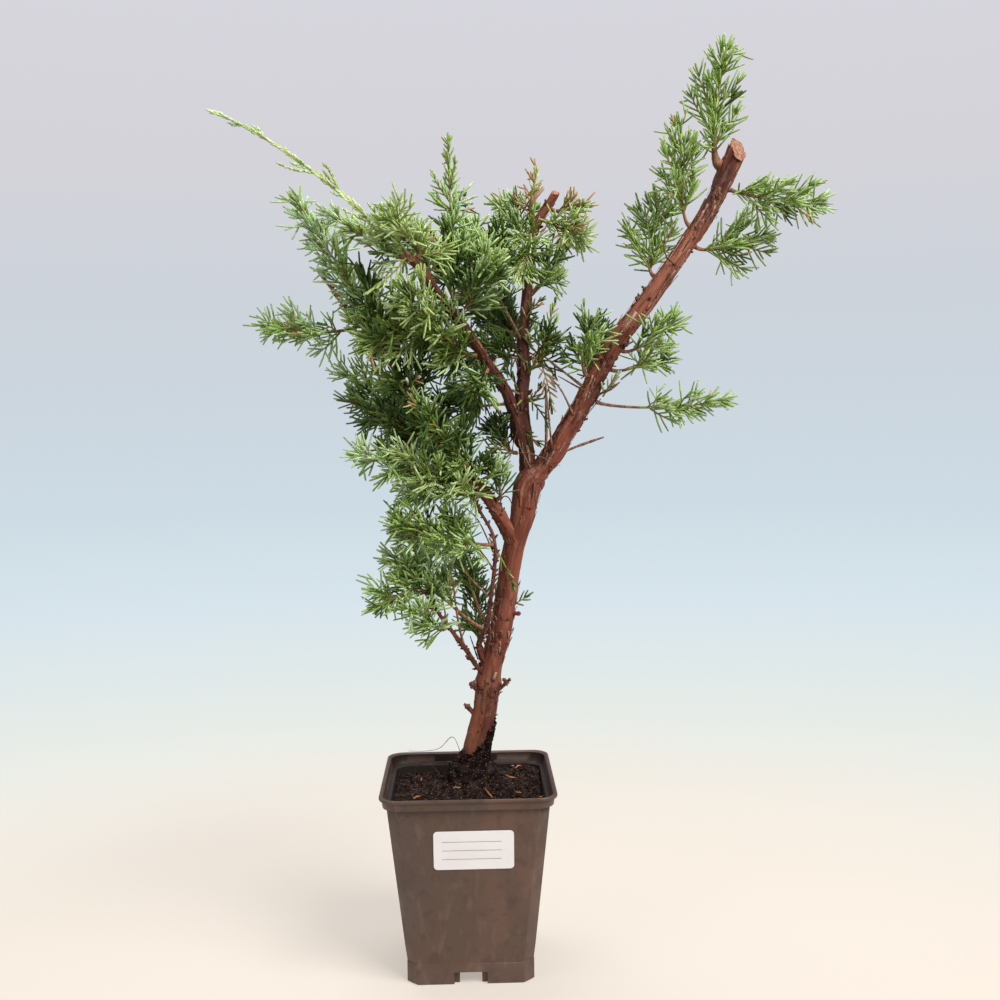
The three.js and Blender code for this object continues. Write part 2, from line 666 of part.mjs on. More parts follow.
// Soil up to its surface, with the trunk's foot standing in it.
function soilSolid(trunk) {
  const wide = wallWidth(lipFoot) - 2 * (pot.wall + clear) - 0.4;
  const geometry = new THREE.BoxGeometry(wide, wide, 60, soil.cells, soil.cells, 1);
  const place = geometry.attributes.position;
  const foot = trunk.path[0];
  for (let i = 0; i < place.count; i++) {
    const x = place.getX(i);
    const y = place.getY(i);
    const fromTrunk = Math.hypot(x - foot[0], y - foot[1]) / soil.mound.reach;
    const fromHeap = Math.hypot(x - soil.heap.x, y - soil.heap.y) / soil.heap.reach;
    const rise = soil.mound.rise * Math.exp(-(fromTrunk ** 2)) + soil.heap.rise * Math.exp(-(fromHeap ** 2));
    const crumb = 0.5 * Math.sin(x * 0.9) * Math.cos(y * 1.1);
    place.setZ(i, place.getZ(i) > 0 ? soil.edge + rise + crumb : soil.edge - 30);
  }
  const surface = solidFrom(geometry);
  const low = inside(clear).trimByPlane([0, 0, -1], -(soil.edge - 20));
  const high = inside(clear).trimByPlane([0, 0, 1], soil.edge - 20);
  const top = surface.trimByPlane([0, 0, 1], soil.edge - 20);
  return largest(wasm.Manifold.union([low, high.intersect(top)]).subtract(limbSolid(trunk, clear)));
}

function labelGeometry() {
  const { width, height, corner } = label;
  const outline = new THREE.Shape();
  const spots = [[1, 1, 0], [-1, 1, 1], [-1, -1, 2], [1, -1, 3]];
  spots.forEach(([sx, sy, quarter], i) => {
    const x = sx * (width / 2 - corner);
    const y = sy * (height / 2 - corner);
    const from = (quarter * Math.PI) / 2;
    if (i === 0) outline.moveTo(x + corner, y);
    outline.absarc(x, y, corner, from, from + Math.PI / 2, false);
  });
  outline.closePath();
  return new THREE.ExtrudeGeometry(outline, { depth: label.thick, bevelEnabled: false, curveSegments: 3 });
}

// Assembly

const whole = new THREE.Group();

function finish(color, roughness) {
  return new THREE.MeshStandardMaterial({ color, roughness, metalness: 0 });
}

function leafColour(name) {
  if (fresh.includes(name)) return 0x86a84e;
  return shaded.includes(name) ? 0x35614a : 0x54833f;
}

function addSolid(name, solid, color, roughness) {
  const mesh = new THREE.Mesh(geometryFrom(solid), finish(color, roughness));
  mesh.name = name;
  whole.add(mesh);
}

const trunk = limbs[0];
addSolid("pot", potSolid(), 0x4b3c37, 0.6);
addSolid("soil", soilSolid(trunk), 0x1f1816, 0.95);

const sticker = new THREE.Mesh(labelGeometry(), finish(0xf4f2f4, 0.45));
const slope = Math.atan(wallTaper / 2);
sticker.name = "label";
sticker.rotation.x = Math.PI / 2 + slope;
sticker.position.set(label.x, -wallWidth(label.z) / 2 - clear, label.z);
whole.add(sticker);

const earlier = [];
for (const limb of limbs) {
  const cut = earlier.length ? limbSolid(limb).subtract(wasm.Manifold.union(earlier)) : limbSolid(limb);
  addSolid(limb.name, largest(cut), 0x7d4a3a, 0.85);
  earlier.push(limbSolid(limb, clear));
}

for (const mass of masses) addSolid(mass.name, massSolid(mass), leafColour(mass.name), 0.6);

export default whole;
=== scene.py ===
import math

import bmesh
import bpy
import numpy as np
from mathutils import Matrix, Vector, noise


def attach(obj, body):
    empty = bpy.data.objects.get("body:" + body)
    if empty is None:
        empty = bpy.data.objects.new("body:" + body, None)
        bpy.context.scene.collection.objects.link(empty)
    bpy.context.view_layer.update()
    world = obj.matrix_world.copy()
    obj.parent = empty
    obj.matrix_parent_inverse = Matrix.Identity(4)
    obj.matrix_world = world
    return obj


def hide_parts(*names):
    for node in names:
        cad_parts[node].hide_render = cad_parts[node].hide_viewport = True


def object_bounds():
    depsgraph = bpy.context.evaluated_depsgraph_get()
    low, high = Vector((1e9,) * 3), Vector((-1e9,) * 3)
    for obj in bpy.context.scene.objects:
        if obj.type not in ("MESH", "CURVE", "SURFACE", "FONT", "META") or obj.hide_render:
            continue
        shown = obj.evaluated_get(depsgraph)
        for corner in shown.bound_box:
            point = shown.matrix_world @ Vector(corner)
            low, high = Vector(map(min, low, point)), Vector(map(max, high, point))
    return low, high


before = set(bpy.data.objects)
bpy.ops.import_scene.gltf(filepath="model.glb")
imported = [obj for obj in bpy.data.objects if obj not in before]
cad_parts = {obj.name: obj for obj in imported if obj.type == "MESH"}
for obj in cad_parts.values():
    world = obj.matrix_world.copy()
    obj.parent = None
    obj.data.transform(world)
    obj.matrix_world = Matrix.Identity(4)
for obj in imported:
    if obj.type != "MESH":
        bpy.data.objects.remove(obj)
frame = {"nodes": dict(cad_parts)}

cadLow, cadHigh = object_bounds()
mm = 0.001
print("frame loaded:", len(frame["nodes"]), "nodes")


def chance(seed, step):
    wave = math.sin(seed * 127.1 + step * 311.7) * 43758.5453
    return wave - math.floor(wave)


def mix(low, high, share):
    return (1 - share) * low + share * high


def smooth(low, high, value):
    share = min(max((value - low) / (high - low), 0), 1)
    return share * share * (3 - 2 * share)


# materials

def buildMottle():
    # soft patches of noise, from 0 to 1 between two thresholds
    group = bpy.data.node_groups.new("mottle", "ShaderNodeTree")
    sockets = group.interface.new_socket
    sockets(name="Vector", in_out="INPUT", socket_type="NodeSocketVector")
    for name, value in (("Scale", 100), ("Detail", 4), ("Low", 0.4), ("High", 0.6)):
        sockets(name=name, in_out="INPUT", socket_type="NodeSocketFloat").default_value = value
    sockets(name="Mask", in_out="OUTPUT", socket_type="NodeSocketFloat")
    start = group.nodes.new("NodeGroupInput")
    end = group.nodes.new("NodeGroupOutput")
    cloud = group.nodes.new("ShaderNodeTexNoise")
    span = group.nodes.new("ShaderNodeMapRange")
    span.interpolation_type = "SMOOTHSTEP"
    link = group.links.new
    for name in ("Vector", "Scale", "Detail"):
        link(start.outputs[name], cloud.inputs[name])
    link(cloud.outputs["Fac"], span.inputs["Value"])
    link(start.outputs["Low"], span.inputs["From Min"])
    link(start.outputs["High"], span.inputs["From Max"])
    link(span.outputs["Result"], end.inputs["Mask"])
    return group


mottle = buildMottle()


class Finish:
    # one Principled material and the few nodes that the finishes here are put together from
    def __init__(self, name, color, roughness, specular=0.4):
        self.material = bpy.data.materials.new(name)
        self.material.use_nodes = True
        self.tree = self.material.node_tree
        self.shader = self.tree.nodes["Principled BSDF"]
        self.color = (*color, 1)
        self.done({"Base Color": self.color, "Roughness": roughness, "Specular IOR Level": specular})

    def fill(self, node, values):
        # an input is linked where its value is a socket, and set where it is a number or a colour
        for name, value in values.items():
            if hasattr(value, "is_linked"):
                self.tree.links.new(value, node.inputs[name])
            else:
                node.inputs[name].default_value = value
        return node.outputs

    def node(self, kind, values, **options):
        made = self.tree.nodes.new(kind)
        for name, option in options.items():
            setattr(made, name, option)
        return self.fill(made, values)

    def attribute(self, name, output="Fac"):
        return self.node("ShaderNodeAttribute", {}, attribute_name=name)[output]

    def place(self, attribute=None, stretch=(1, 1, 1)):
        if attribute:
            spot = self.attribute(attribute, "Vector")
        else:
            spot = self.node("ShaderNodeTexCoord", {})["Object"]
        return self.node("ShaderNodeMapping", {"Vector": spot, "Scale": stretch})["Vector"]

    def patches(self, spot, scale, low, high, detail=4):
        values = {"Vector": spot, "Scale": scale, "Detail": detail, "Low": low, "High": high}
        return self.node("ShaderNodeGroup", values, node_tree=mottle)["Mask"]

    def below(self, high, low):
        # from 0 at one height to 1 at a lower one, in metres
        height = self.node("ShaderNodeSeparateXYZ", {0: self.place()})["Z"]
        return self.node("ShaderNodeMapRange", {"Value": height, "From Min": high, "From Max": low})["Result"]

    def combine(self, how, value, other):
        return self.node("ShaderNodeMath", {0: value, 1: other}, operation=how)[0]

    def tint(self, base, mask, color, strength=1):
        share = mask if strength == 1 else self.combine("MULTIPLY", mask, strength)
        values = {"Factor": share, "A": base, "B": (*color, 1)}
        return self.node("ShaderNodeMix", values, data_type="RGBA")["Result"]

    def layers(self, color, rows):
        # colours one over another: place, scale, low, high and detail of the patches, colour, strength
        for spot, scale, low, high, detail, tone, strength in rows:
            color = self.tint(color, self.patches(spot, scale, low, high, detail), tone, strength)
        return color

    def span(self, mask, low, high):
        return self.node("ShaderNodeMapRange", {"Value": mask, "To Min": low, "To Max": high})["Result"]

    def bump(self, height, distance, strength=1):
        values = {"Height": height, "Distance": distance, "Strength": strength}
        return self.node("ShaderNodeBump", values)["Normal"]

    def done(self, values):
        self.fill(self.shader, values)
        return self.material


def makePotFinish():
    pot = Finish("pot_plastic", (0.105, 0.062, 0.044), 0.5, 0.42)
    spot = pot.place()
    streaked = pot.place(stretch=(1, 1, 0.35))
    color = pot.layers(pot.color, [
        (streaked, 28, 0.45, 0.75, 4, (0.165, 0.083, 0.058), 0.75),
        (streaked, 45, 0.5, 0.72, 4, (0.085, 0.06, 0.05), 0.7),
        (spot, 75, 0.6, 0.75, 4, (0.21, 0.16, 0.13), 0.25),
        (spot, 170, 0.5, 0.7, 6, (0.06, 0.038, 0.03), 0.45),
        (streaked, 210, 0.52, 0.72, 6, (0.18, 0.115, 0.088), 0.4),
        (spot, 2600, 0.66, 0.74, 2, (0.26, 0.2, 0.17), 0.3),  # dust
    ])
    return pot.done({
        # painted shade on the inner walls above the soil, from the inner attribute
        "Base Color": pot.tint(color, pot.attribute("inner"), (0.018, 0.0115, 0.0095), 0.9),
        "Roughness": pot.span(pot.patches(spot, 60, 0.35, 0.7), 0.4, 0.6),
        "Normal": pot.bump(pot.patches(spot, 1500, 0.2, 0.8, 3), 0.00006, 0.5),
    })


def makeLabelFinish():
    paper = Finish("label_paper", (0.92, 0.885, 0.885), 0.42, 0.5)
    spot = paper.place()
    return paper.done({
        "Base Color": paper.layers(paper.color, [(spot, 60, 0.4, 0.7, 4, (0.85, 0.81, 0.815), 0.6)]),
        "Normal": paper.bump(paper.patches(spot, 160, 0.2, 0.8, 2), 0.00008, 0.4),
    })


def makeInkFinish():
    ink = Finish("rule_ink", (0.3, 0.29, 0.3), 0.5)
    return ink.done({
        "Base Color": ink.layers(ink.color, [(ink.place(), 900, 0.4, 0.7, 4, (0.42, 0.41, 0.42), 1)]),
    })


def makeBarkFinish(name, ragged, warmFoot=False):
    # red-brown bark with long grain, flaking plates, a grey skin and dark cracks
    bark = Finish(name, (0.165, 0.04, 0.022), mix(0.52, 0.64, ragged), 0.35)
    along = bark.place("grain", (1, 1, 0.1))
    plates = bark.place("grain", (1, 1, 0.28))
    wide = bark.place("grain", (1, 1, 0.5))
    color = bark.layers(bark.color, [
        (wide, 60, 0.38, 0.62, 5, (0.26, 0.068, 0.037), 1),
        (along, 170, 0.46, 0.68, 4, (0.36, 0.128, 0.076), 0.75),
    ])
    if warmFoot:
        # warmer and paler toward the foot
        warm = bark.combine("MULTIPLY", bark.below(0.168, 0.138), bark.patches(wide, 90, 0.3, 0.62))
        color = bark.tint(color, warm, (0.38, 0.135, 0.064), 0.66)
    color = bark.layers(color, [
        (along, 120, 0.5, 0.64, 4, (0.08, 0.017, 0.013), 0.68),
        (plates, 170, 0.58, 0.64, 5, (0.34, 0.18, 0.125), 0.2 + 0.4 * ragged),
    ])
    ridges = bark.patches(along, 650, 0.3, 0.7, 6)
    flakes = bark.patches(plates, 300, 0.57, 0.62, 7)
    fissures = bark.patches(along, 800, 0.56, 0.66, 5)
    grey = bark.patches(along, 520, 0.55, 0.72, 5)
    grey = bark.combine("MULTIPLY", grey, bark.patches(wide, 45, 0.45, 0.62, 3))
    for mask, tone, strength in (
        (flakes, (0.42, 0.18, 0.11), 0.12 + 0.35 * ragged),
        (grey, (0.52, 0.29, 0.2), 0.15 + 0.45 * ragged),
        (fissures, (0.045, 0.014, 0.01), 0.08 + 0.32 * ragged),
        # stain attribute: wet peat and stains, and painted shade on limbs that lie in the shade of the
        # foliage
        (bark.attribute("stainAndShade"), (0.02, 0.011, 0.009), 1),
    ):
        color = bark.tint(color, mask, tone, strength)
    relief = bark.combine("ADD", ridges, flakes)
    return bark.done({
        "Base Color": color,
        "Roughness": bark.span(ridges, 0.55, 0.8),
        "Normal": bark.bump(relief, 0.0004, 0.2 + 0.7 * ragged),
    })


def makeWoodFinish(name, color, pale):
    wood = Finish(name, color, 0.65, 0.3)
    along = wood.place(stretch=(1, 1, 0.4))
    return wood.done({
        "Base Color": wood.layers(wood.color, [(along, 700, 0.4, 0.65, 5, pale, 1)]),
        "Normal": wood.bump(wood.patches(along, 1100, 0.3, 0.7), 0.0002, 0.7),
    })


def makeSoilFinish(name, color, light, speck):
    soil = Finish(name, color, 0.92, 0.1)
    spot = soil.place()
    return soil.done({
        "Base Color": soil.layers(soil.color, [
            (spot, 230, 0.45, 0.7, 6, light, 1),
            (spot, 1300, 0.635, 0.69, 2, speck, 0.75),
        ]),
        "Normal": soil.bump(soil.patches(spot, 900, 0.25, 0.75, 6), 0.0005),
    })


def makeNeedleFinish(name, color, light):
    needle = Finish(name, color, 0.5, 0.28)
    spot = needle.place()
    return needle.done({
        "Base Color": needle.layers(needle.color, [(spot, 260, 0.42, 0.62, 3, light, 1)]),
        "Roughness": needle.span(needle.patches(spot, 500, 0.3, 0.7, 2), 0.46, 0.64),
    })


potPlastic = makePotFinish()
labelPaper = makeLabelFinish()
ruleInk = makeInkFinish()
barkRough = makeBarkFinish("bark", 1)
barkSmooth = makeBarkFinish("bark_trunk", 0.4, True)
stubBark = makeWoodFinish("stub_bark", (0.085, 0.034, 0.023), (0.23, 0.1, 0.062))
cutWood = makeWoodFinish("cut_wood", (0.26, 0.098, 0.056), (0.44, 0.235, 0.15))
deadWood = makeWoodFinish("dead_twig", (0.2, 0.092, 0.052), (0.36, 0.2, 0.13))
stripBark = makeWoodFinish("strip_bark", (0.17, 0.06, 0.036), (0.33, 0.155, 0.1))
palerBark = makeWoodFinish("paler_bark", (0.3, 0.15, 0.1), (0.48, 0.31, 0.23))
litter = makeWoodFinish("dead_needle", (0.42, 0.14, 0.05), (0.6, 0.28, 0.12))
twigWood = makeWoodFinish("twig_wood", (0.2, 0.085, 0.045), (0.36, 0.19, 0.11))
peat = makeSoilFinish("peat", (0.0085, 0.0048, 0.004), (0.042, 0.024, 0.0185), (0.34, 0.23, 0.18))
fibre = makeSoilFinish("root_fibre", (0.06, 0.034, 0.024), (0.12, 0.07, 0.05), (0.3, 0.2, 0.14))
twigGreen = makeNeedleFinish("twig_green", (0.29, 0.32, 0.05), (0.34, 0.25, 0.075))
whipGreen = makeNeedleFinish("whip_green", (0.4, 0.47, 0.09), (0.52, 0.58, 0.16))

# needle tones by group, dealt out by spray
middleTone, lightTone, darkTone, paleTone, brightTone, dryTone = range(6)
toneTable = {
    "leaf": [
        (0.225, 0.345, 0.085), (0.33, 0.44, 0.155), (0.062, 0.108, 0.021),
        (0.5, 0.62, 0.38), (0.38, 0.54, 0.26),
    ],
    "leaf_fresh": [
        (0.3, 0.41, 0.12), (0.415, 0.51, 0.21), (0.13, 0.2, 0.035),
        (0.56, 0.68, 0.43), (0.43, 0.58, 0.28),
    ],
    "leaf_shade": [
        (0.078, 0.132, 0.027), (0.11, 0.172, 0.04), (0.04, 0.074, 0.017),
        (0.2, 0.28, 0.13), (0.15, 0.22, 0.065),
    ],
}
dryFinish = makeNeedleFinish("needle_dry", (0.42, 0.25, 0.11), (0.55, 0.38, 0.2))
needleFinishes = {}
for group, tones in toneTable.items():
    needleFinishes[group] = []
    for i, tone in enumerate(tones):
        lighter = [channel * 1.4 for channel in tone]
        needleFinishes[group].append(makeNeedleFinish("needle_%s_%d" % (group, i), tone, lighter))
    needleFinishes[group].append(dryFinish)
print("materials made")


# pieces

def addObject(name, data):
    made = bpy.data.objects.new(name, data)
    bpy.context.scene.collection.objects.link(made)
    return made


def addPiece(name, mesh, finishes, slotName, *nodes):
    for finish in finishes:
        mesh.materials.append(finish)
    piece = addObject(name, mesh)
    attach(piece, "root")
    if nodes:
        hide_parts(*nodes)


def meshFromBmesh(name, form, shadeSmooth=True):
    mesh = bpy.data.meshes.new(name)
    for face in form.faces:
        face.smooth = shadeSmooth
    form.to_mesh(mesh)
    form.free()
    return mesh


def meshFromArrays(name, points, triangles, finishIndex=None, shadeSmooth=False):
    mesh = bpy.data.meshes.new(name)
    mesh.vertices.add(len(points))
    mesh.vertices.foreach_set("co", np.asarray(points, dtype=np.float32).ravel())
    mesh.loops.add(len(triangles) * 3)
    mesh.loops.foreach_set("vertex_index", np.asarray(triangles, dtype=np.int32).ravel())
    mesh.polygons.add(len(triangles))
    mesh.polygons.foreach_set("loop_start", np.arange(len(triangles), dtype=np.int32) * 3)
    if finishIndex is not None:
        mesh.polygons.foreach_set("material_index", np.asarray(finishIndex, dtype=np.int32))
    mesh.polygons.foreach_set("use_smooth", np.full(len(triangles), shadeSmooth))
    mesh.update(calc_edges=True)
    mesh.validate()
    return mesh


# growth rule of the limbs and foliage masses, the same as in the part's source, in mm

clear = 0.3
barkLump = 0.05
needleRule = {"length": 10, "gap": 5, "tip": 0.4}
shootRule = {
    "radius": 0.9, "lean": 40, "spread": 14, "shortest": 6, "turn": 137.5,
    "last": 0.92,  # place of the last one along the stem
    "rise": 0.1,  # how far its end is lifted, as a share of its length
}
stemRule = {"radius": 1.1, "tip": 0.5, "handle": 8}

limbs = {
    "trunk": {
        "path": [
            (2.6, 17.5, 93), (4.8, 15, 111.9), (8.3, 13, 125), (10.8, 11, 140.3), (13.2, 9, 157),
            (18.7, 7, 176), (21.6, 5, 194.8), (25.7, 3.8, 219), (30.8, 3, 237.5), (35.1, 3, 259.6),
        ],
        "radius": (7, 5.4), "flare": 1.2, "knuckle": 1.9, "rings": 14,
    },
    "right_bough": {
        "path": [
            (35.6, 3, 255.9), (44.6, 2, 266.3), (54.7, 1, 282), (64.2, 0, 297.5), (71.5, -1, 312.5),
            (79.9, -2, 326.8), (91.2, -2, 341.3), (113.2, 1, 371.1), (126, 2, 389.3),
            (135.3, 2, 405.3), (146.6, 0, 430.4),
        ],
        "radius": (5.4, 3.8), "knuckle": 0.9, "rings": 16,
    },
    "centre_bough": {
        "path": [
            (34.6, 4, 254.8), (33.6, 4, 266.4), (31.1, 4, 293.8), (32.7, 5, 313.2),
            (32.4, 6, 327.9), (34.8, 7, 349.8), (38.9, 6, 384.9), (50.9, 3, 406.4),
        ],
        "radius": (4.4, 2), "rings": 14,
    },
    "left_bough": {
        "path": [
            (30.6, 3, 277), (26.8, -4, 291.2), (21, -13, 305.6), (13.8, -22, 315.4),
            (1.1, -37, 334), (-12, -50, 350.7), (-23.6, -60, 365.2),
        ],
        "radius": (3.1, 2), "rings": 12,
    },
    "low_left_bough": {
        "path": [
            (24.6, 2, 225.5), (18.8, -4, 237.7), (11.6, -8, 249.1), (0.9, -12, 262.3),
            (-13.1, -16, 280.1), (-24.4, -19, 292.4), (-30.5, -22, 309), (-47.8, -25, 333.5),
            (-69.6, -28, 361.9),
        ],
        "radius": (4, 0.9), "rings": 16,
    },
    "inner_stem": {
        "path": [
            (9.4, 6, 157.7), (6.8, -1, 169.3), (10.6, -5, 179), (12.9, -6, 190.7), (15.9, -8, 223),
            (7.8, -10, 242), (1.3, -12, 255.7),
        ],
        "radius": (1.4, 0.8), "rings": 12,
    },
    "low_stem": {
        "path": [
            (9.3, 8, 150.8), (4.6, 0, 159), (-1.6, -7, 170.1), (-12.6, -14, 186.7), (-20.6, -17, 200.3),
        ],
        "radius": (1.4, 1), "rings": 8,
    },
}
for limb in limbs.values():
    limb["path"] = [Vector(p) for p in limb["path"]]

# stubs and bare twigs: limb, place along it, end, radius at the foot and at the end
offshoots = [
    ("trunk", 0.22, (0, 10, 134), (1.9, 1.3)),
    ("trunk", 0.31, (3, 6, 146), (1.6, 1.1)),
    ("trunk", 0.32, (21, 6, 147), (1.7, 1)),
    ("trunk", 0.62, (28.5, 1, 185), (1.8, 1.1)),
    ("right_bough", 0.1, (73, -6, 278), (0.9, 0.5)),
    ("right_bough", 0.08, (43, -9, 304), (1, 0.5)),
    ("right_bough", 0.33, (44, -8, 319), (0.9, 0.4)),
    ("right_bough", 0.27, (81, -8, 306), (1, 0.5)),
    ("centre_bough", 0.57, (16, -12, 358), (1, 0.5)),
    ("low_stem", 0.47, (-6, -18, 207), (0.8, 0.4)),
]

# foliage masses: limb, name, place along the limb, tip, spread, shoots, then lift, bare and leaf
massTable = [
    ("right_bough", "top_spray", 0.945, (136, -5, 480), 15, 11, {"bare": 0.2}),
    ("right_bough", "upper_plume", 0.77, (112, -12, 440), 14, 9, {"lift": 4, "bare": 0.2}),
    ("right_bough", "upper_fan", 0.66, (107, 20, 407), 17, 9, {"lift": 2, "bare": 0.14}),
    ("right_bough", "shoulder_spray", 0.91, (189, -10, 396), 15, 9, {"lift": 4, "bare": 0.1}),
    ("right_bough", "right_wing", 0.74, (166, 16, 386), 17, 9, {"lift": 5, "bare": 0.2}),
    ("right_bough", "right_tuft", 0.49, (112, -14, 338), 9, 5, {"bare": 0.3}),
    ("right_bough", "right_inner_tuft", 0.42, (112, 14, 322), 10, 6, {"lift": 2, "bare": 0.45}),
    ("right_bough", "low_right_spray", 0.31, (140, -10, 298), 10, 8, {"lift": 9, "bare": 0.46}),
    ("right_bough", "bough_left_tuft", 0.37, (65, -16, 341), 11, 7, {"bare": 0.15}),
    ("right_bough", "bough_back_spray", 0.38, (79, 40, 341), 9, 5, {"bare": 0.2}),
    ("centre_bough", "centre_right_spray", 0.49, (50, 0, 332), 12, 5, {"bare": 0.05}),
    ("centre_bough", "cut_tip_twig", 0.94, (67, -6, 397), 7, 3, {"bare": 0.2}),
    ("centre_bough", "centre_top_right", 0.9, (65, -14, 377), 9, 5, {"bare": 0.16}),
    ("centre_bough", "hanging_frond", 0.85, (30, -24, 358), 10, 5, {"lift": -4}),
    ("centre_bough", "centre_back_right", 0.74, (58, 28, 381), 9, 5, {"bare": 0.1}),
    ("centre_bough", "centre_left_spray", 0.76, (0, -16, 386), 15, 7),
    ("centre_bough", "centre_top_left", 0.84, (24, 26, 408), 12, 6, {"bare": 0.1}),
    ("centre_bough", "top_spire", 0.89, (41, 12, 422), 5, 3, {"bare": 0.1, "leaf": 0.7}),
    ("centre_bough", "centre_inner_left", 0.6, (2, 38, 363), 16, 7),
    ("centre_bough", "centre_front_left", 0.5, (-11, -24, 317), 17, 8, {"lift": -4, "bare": 0.15}),
    ("centre_bough", "crown_back", 0.54, (18, 62, 356), 17, 7, {"lift": 4, "bare": 0.15}),
    ("centre_bough", "left_low_spray", 0.3, (-54, -6, 286), 12, 9, {"lift": -3, "bare": 0.34}),
    ("centre_bough", "dark_shoot", 0.17, (13, 6, 288), 11, 6, {"bare": 0.15}),
    ("left_bough", "left_spire", 0.75, (-5, -26, 430), 14, 12, {"lift": 4, "bare": 0.1}),
    ("left_bough", "left_top_fan", 0.88, (-24, -50, 383), 14, 7, {"lift": 3, "bare": 0.1}),
    ("left_bough", "left_tip_tuft", 0.97, (-35, -70, 386), 12, 5, {"lift": 3, "bare": 0.1}),
    ("left_bough", "long_whip", 1, (-114, -74, 430), 7, 12, {"lift": -17, "bare": 0.05, "leaf": 0.5}),
    ("left_bough", "short_whip", 0.99, (-66, -54, 388), 10, 7, {"lift": -2, "bare": 0.06, "leaf": 0.8}),
    ("left_bough", "drooping_spray", 0.67, (-48, -52, 323), 14, 8, {"lift": -8, "bare": 0.1}),
    ("left_bough", "left_hanging", 0.5, (4, -44, 297), 16, 7, {"lift": -5}),
    ("left_bough", "front_crown", 0.71, (14, -56, 370), 15, 7, {"lift": 3}),
    ("left_bough", "front_left_crown", 0.57, (-29, -68, 350), 17, 7, {"lift": 2, "bare": 0.15}),
    ("low_left_bough", "light_right_frond", 0.21, (13, -22, 270), 7, 5, {"lift": 3, "bare": 0.15}),
    ("low_left_bough", "upright_left", 0.81, (-80, -42, 397), 13, 10, {"lift": -2, "bare": 0.06}),
    ("low_left_bough", "far_left_spray", 0.89, (-99, -32, 336), 12, 8, {"lift": 5, "bare": 0.3}),
    ("low_left_bough", "left_side_spray", 0.55, (-64, 4, 315), 13, 7, {"bare": 0.1}),
    ("low_left_bough", "left_under_spray", 0.5, (-56, -40, 300), 11, 6, {"lift": -2, "bare": 0.1}),
    ("low_left_bough", "left_bottom_spray", 0.36, (-54, -50, 273), 13, 8, {"bare": 0.1}),
    ("low_left_bough", "light_spray", 0.27, (-34, -46, 276), 14, 8, {"lift": 6, "bare": 0.1}),
    ("low_left_bough", "light_inner_spray", 0.32, (-22, -48, 299), 15, 7, {"lift": 2, "bare": 0.15}),
    ("low_left_bough", "left_back_spray", 0.43, (-38, 30, 298), 16, 7, {"lift": 2}),
    ("low_left_bough", "upper_inner_left", 0.65, (-47, -46, 362), 16, 9, {"lift": 2}),
    ("inner_stem", "inner_stem_tuft", 1, (-33, -12, 247), 14, 9, {"lift": -3, "bare": 0.06}),
    ("inner_stem", "mid_spray", 0.67, (-37, -38, 239), 16, 8, {"lift": 2, "bare": 0.2}),
    ("inner_stem", "mid_under_spray", 0.33, (-40, -22, 222), 13, 7, {"lift": -2, "bare": 0.42}),
    ("inner_stem", "mid_back_spray", 0.41, (-7, 24, 237), 9, 5, {"lift": 2, "bare": 0.4}),
    ("low_stem", "low_spray", 1, (-47, -26, 194), 13, 8, {"bare": 0.05}),
    ("low_stem", "low_under_spray", 0.68, (-32, -36, 196), 9, 6),
    ("low_stem", "low_upright_twig", 0.85, (-32, 12, 234), 12, 7, {"lift": 3, "bare": 0.2}),
    ("trunk", "low_back_tuft", 0.47, (3, 30, 206), 11, 5, {"lift": 4, "bare": 0.25}),
]
freshMasses = (
    "long_whip", "short_whip", "light_spray", "left_top_fan", "left_tip_tuft", "centre_top_right",
    "hanging_frond", "drooping_spray", "front_left_crown",
)
shadedMasses = (
    "dark_shoot", "left_back_spray", "crown_back", "centre_inner_left",
    "low_back_tuft", "mid_back_spray", "left_low_spray", "left_under_spray", "bough_back_spray",
)
# share of dead brown needles, where there are more than a few
dryMasses = {"top_spire": 0.75, "cut_tip_twig": 0.6, "centre_top_right": 0.06, "dark_shoot": 0.08}
# how much shorter the branchlets get toward the tip
slimMasses = {"left_spire": 0.42, "top_spire": 0.6, "cut_tip_twig": 0.6}
upward = Vector((0, 0, 1))


def limbPoint(limb, t):
    path = limb["path"]
    last = len(path) - 1
    i = min(int(t * last), last - 1)
    w = t * last - i
    p1, p2 = path[i], path[i + 1]
    p0 = path[i - 1] if i else 2 * p1 - p2
    p3 = path[i + 2] if i + 2 <= last else 2 * p2 - p1
    a, b = (p2 - p0) / 2, (p3 - p1) / 2
    return p1 + a * w + (3 * p2 - 3 * p1 - 2 * a - b) * w * w + (2 * p1 - 2 * p2 + a + b) * w ** 3


def limbWay(limb, t):
    low, high = max(t - 0.0001, 0), min(t + 0.0001, 1)
    return (limbPoint(limb, high) - limbPoint(limb, low)).normalized()


def limbRadius(limb, t):
    taper = mix(*limb["radius"], t)
    flare = limb.get("flare", 0) * math.exp(-t * 24)
    return taper + flare + limb.get("knuckle", 0) * smooth(0.78, 1, t)


def twigCurve(start, startWay, end, endWay, handle):
    reach = (end - start).length
    return (start, start + startWay * min(reach * 0.33, handle), end - endWay * (reach * 0.33), end)


def curvePoint(curve, t):
    s = 1 - t
    return curve[0] * s ** 3 + curve[1] * (3 * s * s * t) + curve[2] * (3 * s * t * t) + curve[3] * t ** 3


def curveWay(curve, t):
    s = 1 - t
    first, middle, last = curve[1] - curve[0], curve[2] - curve[1], curve[3] - curve[2]
    return (first * (s * s) + middle * (2 * s * t) + last * (t * t)).normalized()


def framesOf(pointAt, wayAt, rings, first):
    # place, way along, and u and v across it, carried along without a twist
    frames = []
    u = first
    for i in range(rings + 1):
        along = wayAt(i / rings)
        u = (u - along * u.dot(along)).normalized()
        frames.append((pointAt(i / rings), along, u, along.cross(u)))
    return frames


def across(along, turn):
    # a way square to another one, turned round it from the level
    level = along.cross(upward)
    if level.length < 0.05:
        level = Vector((1, 0, 0))
    level.normalize()
    return level * math.cos(turn) + level.cross(along) * math.sin(turn)


